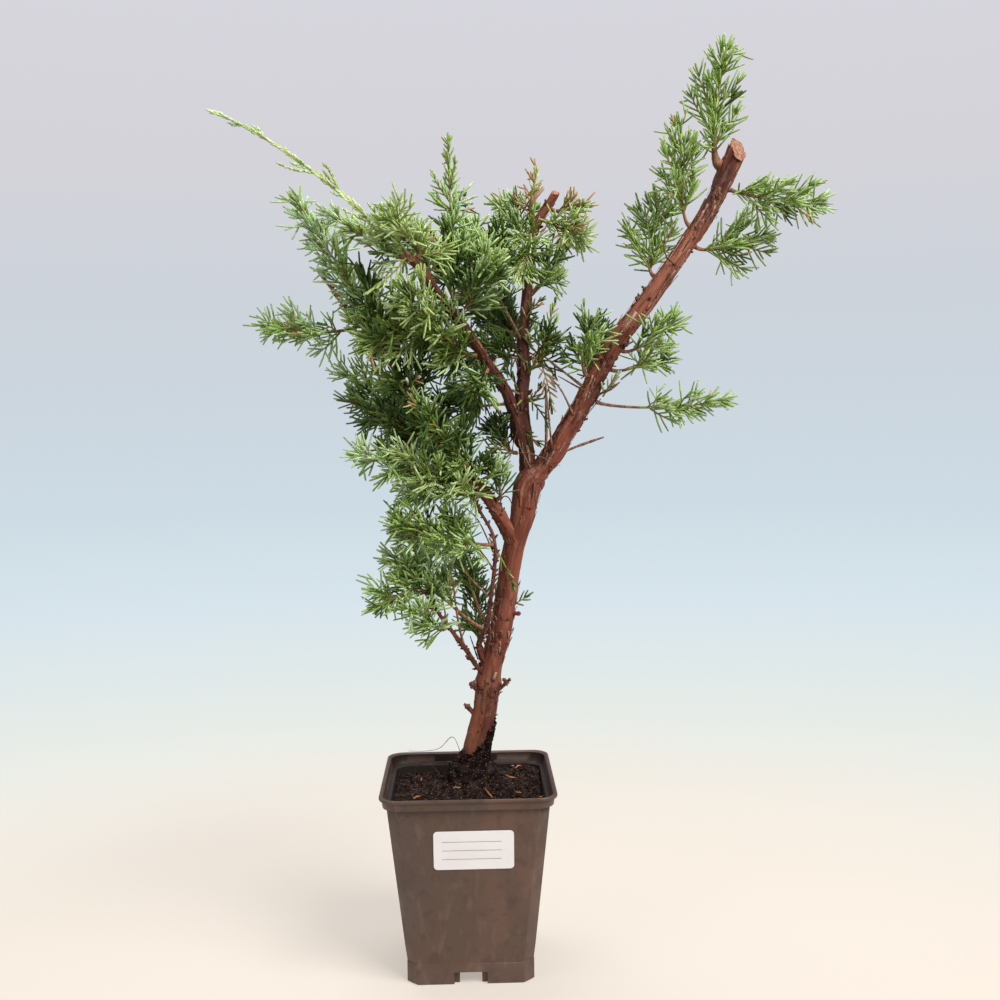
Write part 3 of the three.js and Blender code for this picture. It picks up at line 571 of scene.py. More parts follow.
def spaceAt(mass, t):
    # how far a mass reaches out from its stem, narrowing to the tip
    if t < 0.3:
        return mass["spread"] * mix(0.85, 1, t / 0.3)
    return mass["spread"] * max(0, 1 - ((t - 0.3) / 0.74) ** 2) ** 0.75


def makeTwig(curve, first, foot, tip, gap):
    length = (curve[3] - curve[0]).length
    rings = max(2, int(length / gap + 0.5))
    frames = framesOf(lambda t: curvePoint(curve, t), lambda t: curveWay(curve, t), rings, first)
    return {"curve": curve, "length": length, "rings": rings, "frames": frames, "foot": foot, "tip": tip}


def faceRoot(twig, ring, side, lean):
    # where a shoot leaves the twig's bark, and the way it goes
    along, u, v = twig["frames"][ring][1:]
    angle = (side + 0.5) * math.pi / 2
    out = u * math.cos(angle) + v * math.sin(angle)
    t = (ring + 0.5) / twig["rings"]
    radius = mix(twig["foot"], twig["tip"], t)
    start = curvePoint(twig["curve"], t) + out * (radius * math.sqrt(0.5))
    return start, along * math.cos(lean) + out * math.sin(lean)


def stemOf(mass, seed):
    limb = limbs[mass["on"]]
    tip = Vector(mass["tip"])
    heart = limbPoint(limb, mass["at"])
    along = limbWay(limb, mass["at"])
    atTip = mass["at"] == 1
    way = tip - heart
    way = along if atTip else (way - along * way.dot(along)).normalized()
    inside = 0 if atTip else limbRadius(limb, mass["at"]) * (1 + barkLump)
    start = heart + way * (clear + inside)
    endWay = (tip - start + upward * (2 * mass["lift"])).normalized()
    tip = tip - endWay * (needleRule["length"] * needleRule["tip"])
    curve = twigCurve(start, way, tip, endWay, stemRule["handle"])
    first = across(way, 2 * math.pi * chance(seed, 99))
    return makeTwig(curve, first, stemRule["radius"], stemRule["tip"], needleRule["gap"])


def shootsOf(mass, stem, seed):
    found = []
    for k in range(mass["shoots"]):
        share = mix(mass["bare"], shootRule["last"], (k + 0.6 * chance(seed, k)) / mass["shoots"])
        ring = math.floor(stem["rings"] * share)
        side = math.floor(k * shootRule["turn"] / 90) % 4
        lean = math.radians(shootRule["lean"] + shootRule["spread"] * (chance(seed, k + 40) - 0.5))
        start, way = faceRoot(stem, ring, side, lean)
        t = (ring + 0.5) / stem["rings"]
        room = (spaceAt(mass, t) - needleRule["length"] * 0.35) / math.sin(lean)
        rest = (1 - t) * stem["length"] / math.cos(lean) + needleRule["length"] * 0.2
        length = min(room * (0.85 + 0.3 * chance(seed, k + 80)), rest)
        if length < shootRule["shortest"]:
            continue
        end = start + way * length + upward * (shootRule["rise"] * length)
        endWay = (way + stem["frames"][ring][1] * 0.4 + upward * 0.3).normalized()
        found.append((ring, side, twigCurve(start, way, end, endWay, length)))
    return found


# every limb, stem and shoot is a row of rods, and a new shoot keeps clear of them
rods = {"a": [], "b": [], "radius": [], "owner": [], "twig": []}


def addRods(points, radii, owner, twig):
    for i in range(len(points) - 1):
        rods["a"].append(points[i])
        rods["b"].append(points[i + 1])
        rods["radius"].append(max(radii[i], radii[i + 1]))
        rods["owner"].append(owner)
        rods["twig"].append(twig)


def nearestOn(points, a, b):
    # shortest distance from each point to each segment a-b
    span = b - a
    share = ((points[:, None] - a) * span).sum(-1) / np.maximum((span * span).sum(-1), 1e-9)
    foot = a + np.clip(share, 0, 1)[..., None] * span
    return np.linalg.norm(points[:, None] - foot, axis=-1)


def isClear(a, b, radius, owner, twig, source, table):
    # whether a rod from a to b keeps its distance from all but its own twig and the one it comes from
    same = table["owner"] == owner
    skip = same & ((table["twig"] == twig) | (table["twig"] == source))
    most = radius + table["radius"] + np.where(same, 0.1, clear + 0.1)
    reach = np.linalg.norm(b - a) + table["span"] + most
    near = ~skip & (np.linalg.norm(table["a"] - a, axis=-1) <= reach)
    if not near.any():
        return True
    steps = np.linspace(0, 1, 7)[:, None]
    first = nearestOn(a + (b - a) * steps, table["a"][near], table["b"][near]).min(0)
    if (first < most[near]).any():
        return False
    for i in np.nonzero(near)[0]:
        points = table["a"][i] + (table["b"][i] - table["a"][i]) * steps
        if nearestOn(points, a[None], b[None]).min() < most[i]:
            return False
    return True


def rodTable():
    table = {key: np.array(rods[key], dtype=float) for key in ("a", "b", "radius")}
    table["owner"] = np.array(rods["owner"])
    table["twig"] = np.array(rods["twig"])
    table["span"] = np.linalg.norm(table["a"] - table["b"], axis=-1)
    return table


limbIds = {name: -1 - i for i, name in enumerate(limbs)}
for name, limb in limbs.items():
    steps = [i / limb["rings"] for i in range(limb["rings"] + 1)]
    widths = [limbRadius(limb, t) * (1 + barkLump) for t in steps]
    addRods([limbPoint(limb, t) for t in steps], widths, limbIds[name], -1)
for on, at, end, radius in offshoots:
    addRods([limbPoint(limbs[on], at), Vector(end)], [radius[0], 0], limbIds[on], -1)
limbRods = {key: np.array(rods[key], dtype=float) for key in ("a", "b", "radius")}

masses = []
for i, (on, name, at, tip, spread, shoots, *more) in enumerate(massTable):
    mass = {"on": on, "name": name, "at": at, "tip": tip, "spread": spread, "shoots": shoots}
    mass.update({"lift": 0, "bare": 0.12, "leaf": 1, **(more[0] if more else {})})
    mass["dry"] = dryMasses.get(name, 0.012)
    mass["slim"] = slimMasses.get(name, 0.74)
    mass["group"] = "leaf"
    if name in freshMasses:
        mass["group"] = "leaf_fresh"
    if name in shadedMasses:
        mass["group"] = "leaf_shade"
    mass["seed"] = i + 1
    mass["stem"] = stemOf(mass, i + 1)
    curve = mass["stem"]["curve"]
    addRods([curvePoint(curve, s / 5) for s in range(6)], [stemRule["radius"]] * 6, i, 0)
    masses.append(mass)

shootCount = 0
table = rodTable()
for i, mass in enumerate(masses):
    mass["shootCurves"] = []
    taken = set()
    for k, (ring, side, curve) in enumerate(shootsOf(mass, mass["stem"], mass["seed"])):
        if (ring, side) in taken:
            continue
        points = [np.array(curvePoint(curve, s / 2)) for s in range(3)]
        radius = shootRule["radius"]
        if not isClear(points[0], points[1], radius, i, k + 1, 0, table):
            continue
        if not isClear(points[1], points[2], radius, i, k + 1, -9, table):
            continue
        addRods([Vector(p) for p in points], [radius] * 3, i, k + 1)
        table = rodTable()
        taken.add((ring, side))
        mass["shootCurves"].append((ring, curve))
        shootCount += 1
print("growth rule:", len(masses), "masses,", shootCount, "shoots")


# finer twigs and needles

fineRing = 2.2  # mm between the rings of a fine twig
fineStem = {"foot": 0.85, "tip": 0.4, "start": 0.05}
fineShoot = {"foot": 0.55, "tip": 0.35}
featherRule = {
    "stemGap": 1.3,  # mm between the feathers of a stem
    "stemLongest": 15,
    "shootGap": 1.65,
    "shootLongest": 13,
    "start": 0.08,  # bare share of a shoot
    "lean": (50, 31),  # degrees, at the foot and at the tip of the twig
    "scalyLean": (28, 15),
    "leanSpread": 14,
    "twist": 0.16,  # from one to the next, round the twig
    "scatter": 1.1,
    "end": 9,  # length of the three at a twig's end
    "endLeans": (2, 26, 30),
}
# a feather is a long branchlet with small ones to both sides
forkRule = {
    "gap": 4.4, "start": 2.2, "least": 4.4, "longest": 10, "lean": 38, "leanSpread": 12, "width": 0.94,
}
# small shoots between the large ones of a stem
extraRule = {
    "gap": 4.5, "length": 13, "shortest": 2.5, "lean": 44, "leanSpread": 14, "foot": 0.45, "share": 0.85,
}
needleSize = {"width": 1.2, "thick": 1.05, "end": 0.93}
# on these most branchlets are single
plainMasses = {"top_spray", "upper_plume", "shoulder_spray", "right_wing", "upper_fan", "low_right_spray"}
singleShare = 0.72
# a needle's row holds its foot, way, bow and side, and then these
lengthColumn, widthColumn, toneColumn, seedColumn, curveColumn = range(12, 17)
needleRows = {group: [] for group in toneTable}
twigRows = []
dice = {"seed": 1, "step": 200}


def roll():
    # the next of a fixed row of numbers from 0 to 1, which starts anew with each mass
    dice["step"] += 1
    return chance(dice["seed"], dice["step"])


def isScaly(mass):
    # the whips have short scale leaves that lie along the twig
    return mass["leaf"] < 0.6


def gapsToLimbs(points):
    # from each point to each rod of the limbs
    return nearestOn(np.asarray(points), limbRods["a"], limbRods["b"]) - limbRods["radius"]


def leaned(along, out, degrees):
    angle = math.radians(degrees)
    return along * math.cos(angle) + out * math.sin(angle)


def addNeedle(mass, base, way, toward, length, tone, width=1.0):
    # way is where the branchlet points, toward is the side it curves to
    bow = (toward - way * way.dot(toward)).normalized()
    side = way.cross(bow)
    curve = length * (0.15 * roll() - 0.02)
    needleRows[mass["group"]].append((*base, *way, *bow, *side, length, width, tone, mass["seed"], curve))
    return bow, curve


def addFeather(mass, base, way, along, length, tone):
    bow, curve = addNeedle(mass, base, way, along, length, tone)
    first = int(roll() * 2)
    forks = int((length - 2.5) / forkRule["gap"])
    if mass["name"] in plainMasses and roll() < singleShare:
        forks = 0
    for j in range(forks):
        share = (forkRule["start"] + (j + 0.5 * roll()) * forkRule["gap"]) / length
        hand = 1 if (j + first) % 2 else -1
        lean = forkRule["lean"] + forkRule["leanSpread"] * (roll() - 0.5)
        aside = (bow * hand + way.cross(bow) * 1.1 * (roll() - 0.5)).normalized()
        fork = min(forkRule["longest"], (1 - share) * length * 0.8 + forkRule["least"])
        fork *= 0.75 + 0.4 * roll()
        at = base + way * (length * share) + bow * (curve * share * share)
        size = fork * max(mass["leaf"], 0.6)
        addNeedle(mass, at, leaned(way, aside, lean), way, size, tone, forkRule["width"])


# the heart of the crown, where shade is painted, the front of it, and where the sprays of the long bough
# begin
crownHeart = {"x": 12, "y": -4, "z": 318, "left": 50, "right": 62, "deep": 48, "tall": 62}
crownFront = {"x": -52, "y": -35, "low": 288, "high": 368}
boughSide = 62
toneShares = {
    "dark": 0.07, "heartShade": 0.92, "frontDark": 0.3, "frontLight": 0.15, "boughMiddle": 0.8,
    "bright": (0.5, 0.12), "light": 0.5,
}


def toneAt(point):
    # painted shade: the darker tone prevails inside the crown
    x, y, z = point
    wide = crownHeart["left"] if x < crownHeart["x"] else crownHeart["right"]
    depth = ((x - crownHeart["x"]) / wide) ** 2 + ((y - crownHeart["y"]) / crownHeart["deep"]) ** 2
    depth += ((z - crownHeart["z"]) / crownHeart["tall"]) ** 2
    if roll() < toneShares["dark"] + toneShares["heartShade"] * math.exp(-depth):
        return darkTone
    # the front of the crown is of a middle green
    inFront = y < crownFront["y"] and x > crownFront["x"]
    if inFront and crownFront["low"] < z < crownFront["high"]:
        if roll() < toneShares["frontDark"]:
            return darkTone
        return lightTone if roll() < toneShares["frontLight"] else middleTone
    # the sprays of the long bough are all much the same
    if x > boughSide:
        return middleTone if roll() < toneShares["boughMiddle"] else lightTone
    # and the side that is in the light has bright ones
    if roll() < mix(*toneShares["bright"], smooth(-62, -28, x)):
        return brightTone
    return lightTone if roll() >= toneShares["light"] else middleTone


def outward(twig, t, turn):
    ring = min(int(t * twig["rings"]), twig["rings"] - 1)
    along = curveWay(twig["curve"], t)
    u = twig["frames"][ring][2]
    return along, u * math.cos(turn) + along.cross(u) * math.sin(turn)


def dressTwig(mass, twig, gap, longest, tone, start, room=None):
    # feathers in turn to the two sides of a twig, from start to its tip
    rule = featherRule
    scaly = isScaly(mass)
    leans = rule["scalyLean"] if scaly else rule["lean"]
    count = max(3, int(twig["length"] * (1 - start) / (gap * (0.6 if scaly else 1))))
    phase = 6.28 * roll()
    for k in range(count):
        t = mix(start, 1, (k + 0.5 * roll()) / count)
        turn = phase + (math.pi + rule["twist"]) * k + rule["scatter"] * (roll() - 0.5)
        along, out = outward(twig, t, turn)
        lean = mix(*leans, t) + rule["leanSpread"] * (roll() - 0.5)
        length = longest * mass["leaf"] * mix(1, mass["slim"], smooth(0.3, 0.85, t)) * (0.7 + 0.45 * roll())
        if room:
            length = min(length, (room(mass, t) + 2.5) / math.sin(math.radians(lean)))
        if scaly:
            length *= 0.5
        spray = dryTone if roll() < mass["dry"] else tone
        base = curvePoint(twig["curve"], t) + out * (mix(twig["foot"], twig["tip"], t) / 2)
        addFeather(mass, base, leaned(along, out, lean), along, length, spray)
    for k, lean in enumerate(rule["endLeans"]):
        along, out = outward(twig, 1, k * 3 + roll())
        way = leaned(along, out, lean * (0.6 if scaly else 1))
        length = rule["end"] * mass["leaf"] * mass["slim"] * (1 - 0.1 * k)
        addNeedle(mass, twig["curve"][3] - along * 0.6 * k, way, along, length, tone)


def growShoot(mass, curve, foot, share=1.0):
    shoot = makeTwig(curve, across(curveWay(curve, 0), 6.28 * roll()), foot, fineShoot["tip"], fineRing)
    twigRows.append((mass, shoot, "shoot"))
    longest = featherRule["shootLongest"] * share
    dressTwig(mass, shoot, featherRule["shootGap"], longest, toneAt(curve[3]), featherRule["start"])


def growExtras(mass):
    stem = mass["stem"]
    bare = max(mass["bare"], 0.08)
    count = int(stem["length"] * (1 - bare) / extraRule["gap"])
    for k in range(count):
        t = mix(bare, 0.95, (k + roll()) / count)
        at, along = curvePoint(stem["curve"], t), curveWay(stem["curve"], t)
        out = across(along, 2.4 * k + roll())
        way = leaned(along, out, extraRule["lean"] + extraRule["leanSpread"] * (roll() - 0.5))
        length = min(extraRule["length"] * mass["leaf"] * (0.6 + 0.8 * roll()), spaceAt(mass, t) * 0.8)
        end = at + way * length + upward * (0.12 * length)
        narrow = mass["slim"] < 0.5 and t > 0.66
        if length < extraRule["shortest"] or narrow or gapsToLimbs([end]).min() < 1.5:
            continue
        curve = twigCurve(at, way, end, (way + along * 0.5).normalized(), length)
        growShoot(mass, curve, extraRule["foot"], extraRule["share"])


def growMass(mass):
    dice["seed"], dice["step"] = mass["seed"], 200
    stem = mass["stem"]
    fine = makeTwig(stem["curve"], stem["frames"][0][2], fineStem["foot"], fineStem["tip"], fineRing)
    twigRows.append((mass, fine, "stem"))
    start = max(mass["bare"], fineStem["start"])
    tone = toneAt(stem["curve"][3])
    dressTwig(mass, fine, featherRule["stemGap"], featherRule["stemLongest"], tone, start, spaceAt)
    for ring, curve in mass["shootCurves"]:
        t = (ring + 0.5) / stem["rings"]
        share = mix(1, mass["slim"], smooth(0.5, 0.75, t)) if mass["slim"] < 0.5 else 1
        growShoot(mass, curve, fineShoot["foot"], share)
    if not isScaly(mass):
        growExtras(mass)


# single small fronds seen in front of the limbs: mass they go with, foot, tip, share of dead ones
sprigs = [
    ("mid_back_spray", (13, -1, 226), (25, -5, 202), 0.02),
    ("low_back_tuft", (25, 14, 188), (33, 16, 192), 0),
    ("dark_shoot", (41, -4, 317), (46, -10, 294), 0.6),
    ("dark_shoot", (34, -3, 299), (44, -8, 285), 0.1),
    ("dark_shoot", (31, -3, 298), (21, -8, 287), 0.05),
    ("low_right_spray", (73, -4, 299), (79, -8, 309), 0.5),
    ("short_whip", (-25, -62, 364), (-41, -66, 349), 0.02),
    ("centre_right_spray", (35, -2, 312), (44, -8, 322), 0.1),
    ("light_right_frond", (19, -10, 271), (10, -16, 262), 0.02),
    ("centre_right_spray", (44, 4, 327), (50, 10, 350), 0.05),
    ("centre_right_spray", (33, 3, 310), (42, -2, 321), 0.7),
    ("centre_right_spray", (32, 3, 295), (40, -4, 304), 0.75),
    ("centre_right_spray", (31, 3, 283), (39, -3, 276), 0.5),
    ("centre_right_spray", (33, 5, 338), (41, -1, 349), 0.35),
    ("dark_shoot", (30, 3, 300), (24, -4, 312), 0.3),
]


def growSprig(name, foot, tip, dry):
    mass = dict(massNames[name], dry=dry, leaf=0.7)
    foot, tip = Vector(foot), Vector(tip)
    way = (tip - foot).normalized()
    bend = across(way, 6.28 * roll()) * 0.3
    curve = twigCurve(foot, (way + bend).normalized(), tip, (way - bend).normalized(), 9)
    growShoot(mass, curve, 0.5, 0.8)


# small shoots of the long whip: place along it, side in the picture (1 above), length
whipShoots = [
    (0.16, 1, 12), (0.18, -1, 11), (0.22, 1, 11), (0.25, -1, 12), (0.28, 1, 8), (0.31, -1, 6), (0.34, -1, 10),
    (0.46, -1, 4), (0.49, 1, 11), (0.52, 1, 5), (0.59, -1, 14), (0.62, -1, 5), (0.8, 1, 3.5), (0.88, -1, 3.5),
]


def growWhipShoot(at, side, length):
    whip = massNames["long_whip"]
    mass = dict(whip, leaf=0.62 if at < 0.3 else 0.5)
    foot, along = curvePoint(whip["stem"]["curve"], at), curveWay(whip["stem"]["curve"], at)
    level = along.cross(Vector((0, -1, 0))).normalized() * side
    out = (level + Vector((0, 0.5 * roll() - 0.25, 0))).normalized()
    way = (along * 0.88 + out * 0.47).normalized()
    end = foot + way * length + along * (0.08 * length)
    curve = twigCurve(foot, way, end, (along + out * 0.2).normalized(), length * 0.8)
    growShoot(mass, curve, 0.6, 0.55)


massNames = {mass["name"]: mass for mass in masses}
for mass in masses:
    growMass(mass)
for sprig in sprigs:
    growSprig(*sprig)
for shoot in whipShoots:
    growWhipShoot(*shoot)
print("foliage grown:", len(twigRows), "twigs,", sum(map(len, needleRows.values())), "needles")


def needlesClear(rows):
    # needles whose tips would touch a limb or leave the plant's own box are left out
    tips = rows[:, 0:3] + rows[:, 3:6] * rows[:, lengthColumn, None]
    keep = np.ones(len(rows), dtype=bool)
    for start in range(0, len(rows), 4000):
        part = slice(start, start + 4000)
        for points in (tips[part], (tips[part] + rows[part, 0:3]) / 2):
            keep[part] &= gapsToLimbs(points).min(1) >= 0.1
    low, high = np.array(cadLow) / mm, np.array(cadHigh) / mm
    slack = 0.02 * (high - low)
    return keep & (tips > low - slack).all(1) & (tips < high + slack).all(1)


def needlePattern():
    # the triangles of one branchlet: two rows of sides, the foot and the point, foot to tip
    pattern = []
    for k in range(4):
        n = (k + 1) % 4
        for ring in (0, 4):
            pattern += [(ring + k, ring + n, ring + 4 + n), (ring + k, ring + 4 + n, ring + 4 + k)]
    pattern += [(0, 2, 1), (0, 3, 2)]
    pattern += [(8 + k, 8 + (k + 1) % 4, 12) for k in range(4)]
    return np.array(pattern)


needleFaces = needlePattern()
paleTips = 0.12  # share of the lit branchlets with a pale tip
paleBacks = 0.52  # and with a paler upper side


def needleTones(rows):
    # the finish of each triangle
    tone = rows[:, toneColumn].astype(int)
    luck = rows[:, lengthColumn] * 7.3 % 1
    lit = (tone != darkTone) & (tone != dryTone)
    index = np.repeat(tone[:, None], len(needleFaces), 1)
    index[:, 18:] = np.where(lit & (luck < paleTips), paleTone, tone)[:, None]
    upper = [f for f in range(16) if f % 4 > 1]
    lighter = np.array([lightTone, brightTone, middleTone, paleTone, paleTone, dryTone])[tone]
    index[:, upper] = np.where(lit & (luck < paleBacks), lighter, tone)[:, None]
    return index.ravel()


def needleMesh(name, rows):
    # each branchlet is a slightly curved rod of four sides with a blunt tip
    base, way, bow, side = (rows[:, i:i + 3] for i in (0, 3, 6, 9))
    length, curve = rows[:, lengthColumn, None], rows[:, curveColumn, None]
    width = rows[:, widthColumn, None] * needleSize["width"] / 2
    thick = rows[:, widthColumn, None] * needleSize["thick"] / 2
    points = []
    for share, size in ((0, 0.75), (0.5, 1), (needleSize["end"], 0.78)):
        centre = base + way * length * share + bow * curve * share ** 2
        points += [centre + side * width * size, centre + bow * thick * size]
        points += [centre - side * width * size, centre - bow * thick * size]
    points.append(base + way * length + bow * curve)
    triangles = (needleFaces[None] + len(points) * np.arange(len(rows))[:, None, None]).reshape(-1, 3)
    places = np.stack(points, axis=1).reshape(-1, 3) * mm
    return meshFromArrays(name, places, triangles, needleTones(rows), True)


largestPiece = 8400  # needles


def addNeedles(group, rows):
    rows = np.array(rows)
    rows = rows[needlesClear(rows)]
    pieces = math.ceil(len(rows) / largestPiece)
    own = [mass for mass in masses if mass["group"] == group]
    share = math.ceil(len(own) / pieces)
    for i in range(pieces):
        part = own[i * share:(i + 1) * share]
        chosen = rows[np.isin(rows[:, seedColumn], [mass["seed"] for mass in part])]
        label = "needles_%s_%d" % (group, i + 1)
        names = [mass["name"] for mass in part]
        addPiece(label, needleMesh(label, chosen), needleFinishes[group], group, *names)
        print(label, len(chosen) * len(needleFaces), "triangles")


for group, rows in needleRows.items():
    addNeedles(group, rows)


def tubeArrays(frames, radii, sides):
    # a closed tube through the frames, ending in points at both ends
    points = [frames[0][0]]
    for (at, _, u, v), radius in zip(frames, radii):
        for k in range(sides):
            angle = 2 * math.pi * k / sides
            points.append(at + (u * math.cos(angle) + v * math.sin(angle)) * radius)
    points.append(frames[-1][0] + frames[-1][1] * radii[-1])
    last = len(points) - 1
    triangles = []
    for k in range(sides):
        n = (k + 1) % sides
        triangles.append((0, 1 + n, 1 + k))
        for ring in range(len(frames) - 1):
            a, b = 1 + ring * sides, 1 + (ring + 1) * sides
            triangles += [(a + k, a + n, b + n), (a + k, b + n, b + k)]
        top = 1 + (len(frames) - 1) * sides
        triangles.append((top + k, top + n, last))
    return points, triangles


def joinTubes(name, tubes):
    # one mesh out of tubes, each with the number of its finish
    points, triangles, index = [], [], []
    for tube, finish in tubes:
        start = len(points)
        points += [p * mm for p in tube[0]]
        triangles += [tuple(i + start for i in t) for t in tube[1]]
        index += [finish] * len(tube[1])
    return meshFromArrays(name, points, triangles, index, True)


# a stem is thicker where it leaves the limb: by how much, and over what length
stemSwell = {"plain": (0.4, 7), "top_spray": (2.6, 13)}
stemUneven = {"plain": 0.16, "top_spray": 0.34}


def stemRadii(mass, twig):
    frames = twig["frames"]
    swell, reach = stemSwell.get(mass["name"], stemSwell["plain"])
    uneven = stemUneven.get(mass["name"], stemUneven["plain"])
    thicker = 1.25 if mass["name"] in ("long_whip", "short_whip") else 1
    radii = []
    for i, frame in enumerate(frames):
        t = i / (len(frames) - 1)
        knob = 1 + uneven * noise.noise(frame[0] * 0.9)
        foot = swell * math.exp(-t * twig["length"] / reach)
        radii.append(mix(twig["foot"], twig["tip"], t) * knob * thicker + foot)
    return radii


def dressedTubes():
    # woody tubes, and green ones with their finish: 0 for a twig, 1 for a whip
    woody, green = [], []
    for mass, twig, kind in twigRows:
        frames = twig["frames"]
        if kind == "shoot":
            kept = frames[::2]
            if len(frames) % 2 == 0:
                kept.append(frames[-1])
            radii = [mix(twig["foot"], twig["tip"], i / (len(kept) - 1)) for i in range(len(kept))]
            green.append((tubeArrays(kept, radii, 4), int(mass["name"] == "long_whip")))
            continue
        radii = stemRadii(mass, twig)
        split = max(2, int(len(frames) * (0.42 if mass["leaf"] > 0.6 else 0.1)))
        woody.append((tubeArrays(frames[:split + 1], radii[:split + 1], 7), 0))
        if split < len(frames) - 1:
            whip = int(mass["name"] in ("long_whip", "short_whip"))
            green.append((tubeArrays(frames[split - 1:], radii[split - 1:], 6), whip))
    return woody, green


woodyTubes, greenTubes = dressedTubes()
addPiece("twigs_woody", joinTubes("twigs_woody", woodyTubes), [twigWood], "bark")
addPiece("twigs_green", joinTubes("twigs_green", greenTubes), [twigGreen, whipGreen], "leaf")
print("twigs joined")


# trunk and boughs with the bark's relief

barkRule = {
    "row": 0.6,  # mm from row to row
    "facet": 0.5,  # mm from side to side
    "ridge": 0.3,  # depth of the long ridges
    "flake": 0.32,  # thickness of the flaking layer
    "fine": 0.1,
    "lump": 0.07,  # share of the radius
    "sunk": 0.25,
    "closing": 3,  # rows that are drawn in at each end
}


def barkRelief(place, seed, radius, shag):
    # place runs round the limb in x and y and along it in z, in mm
    spot = Vector((place.x, place.y, place.z * 0.1 + seed * 37))
    ridges = noise.fractal(spot * 0.42, 1.0, 2.0, 4)
    layer = noise.noise(Vector((place.x * 0.3, place.y * 0.3, place.z * 0.055 + seed * 11)) * 1.3)
    edge = smooth(-0.02, 0.09, layer) + 0.7 * smooth(0.2, 0.27, layer)
    fine = noise.noise(Vector((place.x, place.y, place.z * 0.35)) * 1.7)
    lump = noise.noise(Vector((place.x * 0.12, place.y * 0.12, place.z * 0.08 + seed * 5)))
    size = min(1, radius / (4 if radius > 2.2 else 2))
    height = barkRule["ridge"] * ridges * min(shag, 1) + barkRule["flake"] * edge * shag
    height += barkRule["fine"] * fine * shag
    return size * (height - barkRule["sunk"]) + barkRule["lump"] * radius * lump


def tornBack(spot, tip, torn):
    # how far a place is pushed back along the limb to lie on the rough plane of a torn end
    at, along = tip[:2]
    over = (spot - at + along * torn["below"]).dot(torn["way"])
    over += 0.35 * noise.noise(Vector((spot.x, spot.y, spot.z * 0.3)) * 1.1)
    return max(over, 0) / along.dot(torn["way"])


def rollLimb(form, frames, radii, lengths, look):
    # a grid is rolled up round the frames, its end rows drawn in to close the ends
    grain, stainAndShade = form.verts.layers.float_vector["grain"], form.verts.layers.float["stainAndShade"]
    torn = look.get("torn")
    closing = barkRule["closing"]
    rows = len(frames) - 1
    total = rows + 2 * closing
    made = bmesh.ops.create_grid(form, x_segments=look["sides"], y_segments=total, size=0.5)["verts"]
    tip = frames[-1]
    bare = set()
    for vert in made:
        angle = (vert.co.x + 0.5) * 2 * math.pi
        row = round((vert.co.y + 0.5) * total)
        ring = min(max(row - closing, 0), rows)
        at, along, u, v = frames[ring]
        radius = radii[ring]
        place = Vector((math.cos(angle) * radius, math.sin(angle) * radius, lengths[ring]))
        inward = min(row, total - row, closing) / closing
        push = 0.0
        if row < closing:
            push = -look["footCap"] * math.cos(inward * math.pi / 2)
        if row > total - closing:
            push = look["tipCap"] * math.cos(inward * math.pi / 2)
        out = u * math.cos(angle) + v * math.sin(angle)
        reach = radius + barkRelief(place, look["seed"], radius, look["shag"])
        if inward < 1:
            reach *= math.sin(inward * math.pi / 2)
        if torn:
            widened = torn["widened"] * smooth(lengths[-1] - 14, lengths[-1], lengths[ring])
            reach *= 1 + widened * max(out.dot(torn["way"]), 0)
        elif inward < 1 and row > rows:
            push += 0.25 * radius * noise.noise(place * 0.7 + out * inward * 3)
        spot = at + out * reach + along * push
        back = tornBack(spot, tip, torn) if torn else 0
        if back > 0:
            spot -= tip[1] * back
            bare.add(vert)
        vert.co = spot * mm
        vert[grain] = place * mm
        vert[stainAndShade] = look["stainAndShade"](vert.co / mm)
    for face in {f for vert in made for f in vert.link_faces}:
        face.smooth = True
        ahead = [(v.co / mm - tip[0]).dot(tip[1]) for v in face.verts]
        opened = all(v in bare for v in face.verts)
        face.material_index = look["tipFinish"] if opened or min(ahead) > -0.05 else look["finish"]


def closeForm(form):
    bmesh.ops.remove_doubles(form, verts=form.verts, dist=1e-6)
    bmesh.ops.dissolve_degenerate(form, edges=form.edges, dist=1e-7)
    bmesh.ops.recalc_face_normals(form, faces=form.faces)


def soilStainAndShade(point):
    # wet peat at the foot and up the right side, and painted shade on the left higher up, where the foliage
    # shades the trunk
    left = 2.6 + (point.z - 93) * 0.195
    right = 2.6 + (point.z - 93) * 0.24
    shade = smooth(0.5, 4.5, left - point.x) * smooth(150, 175, point.z) * (1 - smooth(235, 250, point.z))
    shade *= 0.2 + 0.5 * smooth(-0.2, 0.25, noise.noise(Vector((point.x, point.y, point.z * 0.35)) * 0.35))
    low = 1 - smooth(100, 113, point.z + 4 * noise.noise(point * 0.25))
    side = smooth(1, 5, point.x - right) * (1 - smooth(122, 142, point.z))
    spots = 0.06 * (1 - smooth(118, 160, point.z)) * smooth(0, 0.3, noise.noise(point * 0.2))
    wet = 0.85 * side * smooth(-0.25, 0.25, noise.noise(point * 0.3) + 0.12)
    return min(1, low + spots + wet + 0.6 * shade)


def fewStains(point):
    return 0.5 * smooth(0.15, 0.5, noise.noise(point * 0.05))


def stemStain(point):
    return 0.25 + 0.4 * smooth(-0.1, 0.3, noise.noise(point * 0.4))


def crownStainsAndShade(point):
    # painted shade: the limbs inside the crown are darker, over their few stains
    return max(fewStains(point), 0.55 * (1 - smooth(360, 385, point.z)))


# torn ends: the way the face looks, how far below the tip it lies on the axis, and its widening
tornEnds = {
    "right_bough": {"way": Vector((0.55, -0.68, 0.48)).normalized(), "below": 4.5, "widened": 0.35},
    "centre_bough": {"way": Vector((0.3, -0.6, 0.75)).normalized(), "below": 1.5, "widened": 0},
    "left_bough": {"way": Vector((-0.4, -0.75, 0.5)).normalized(), "below": 1.5, "widened": 0},
}
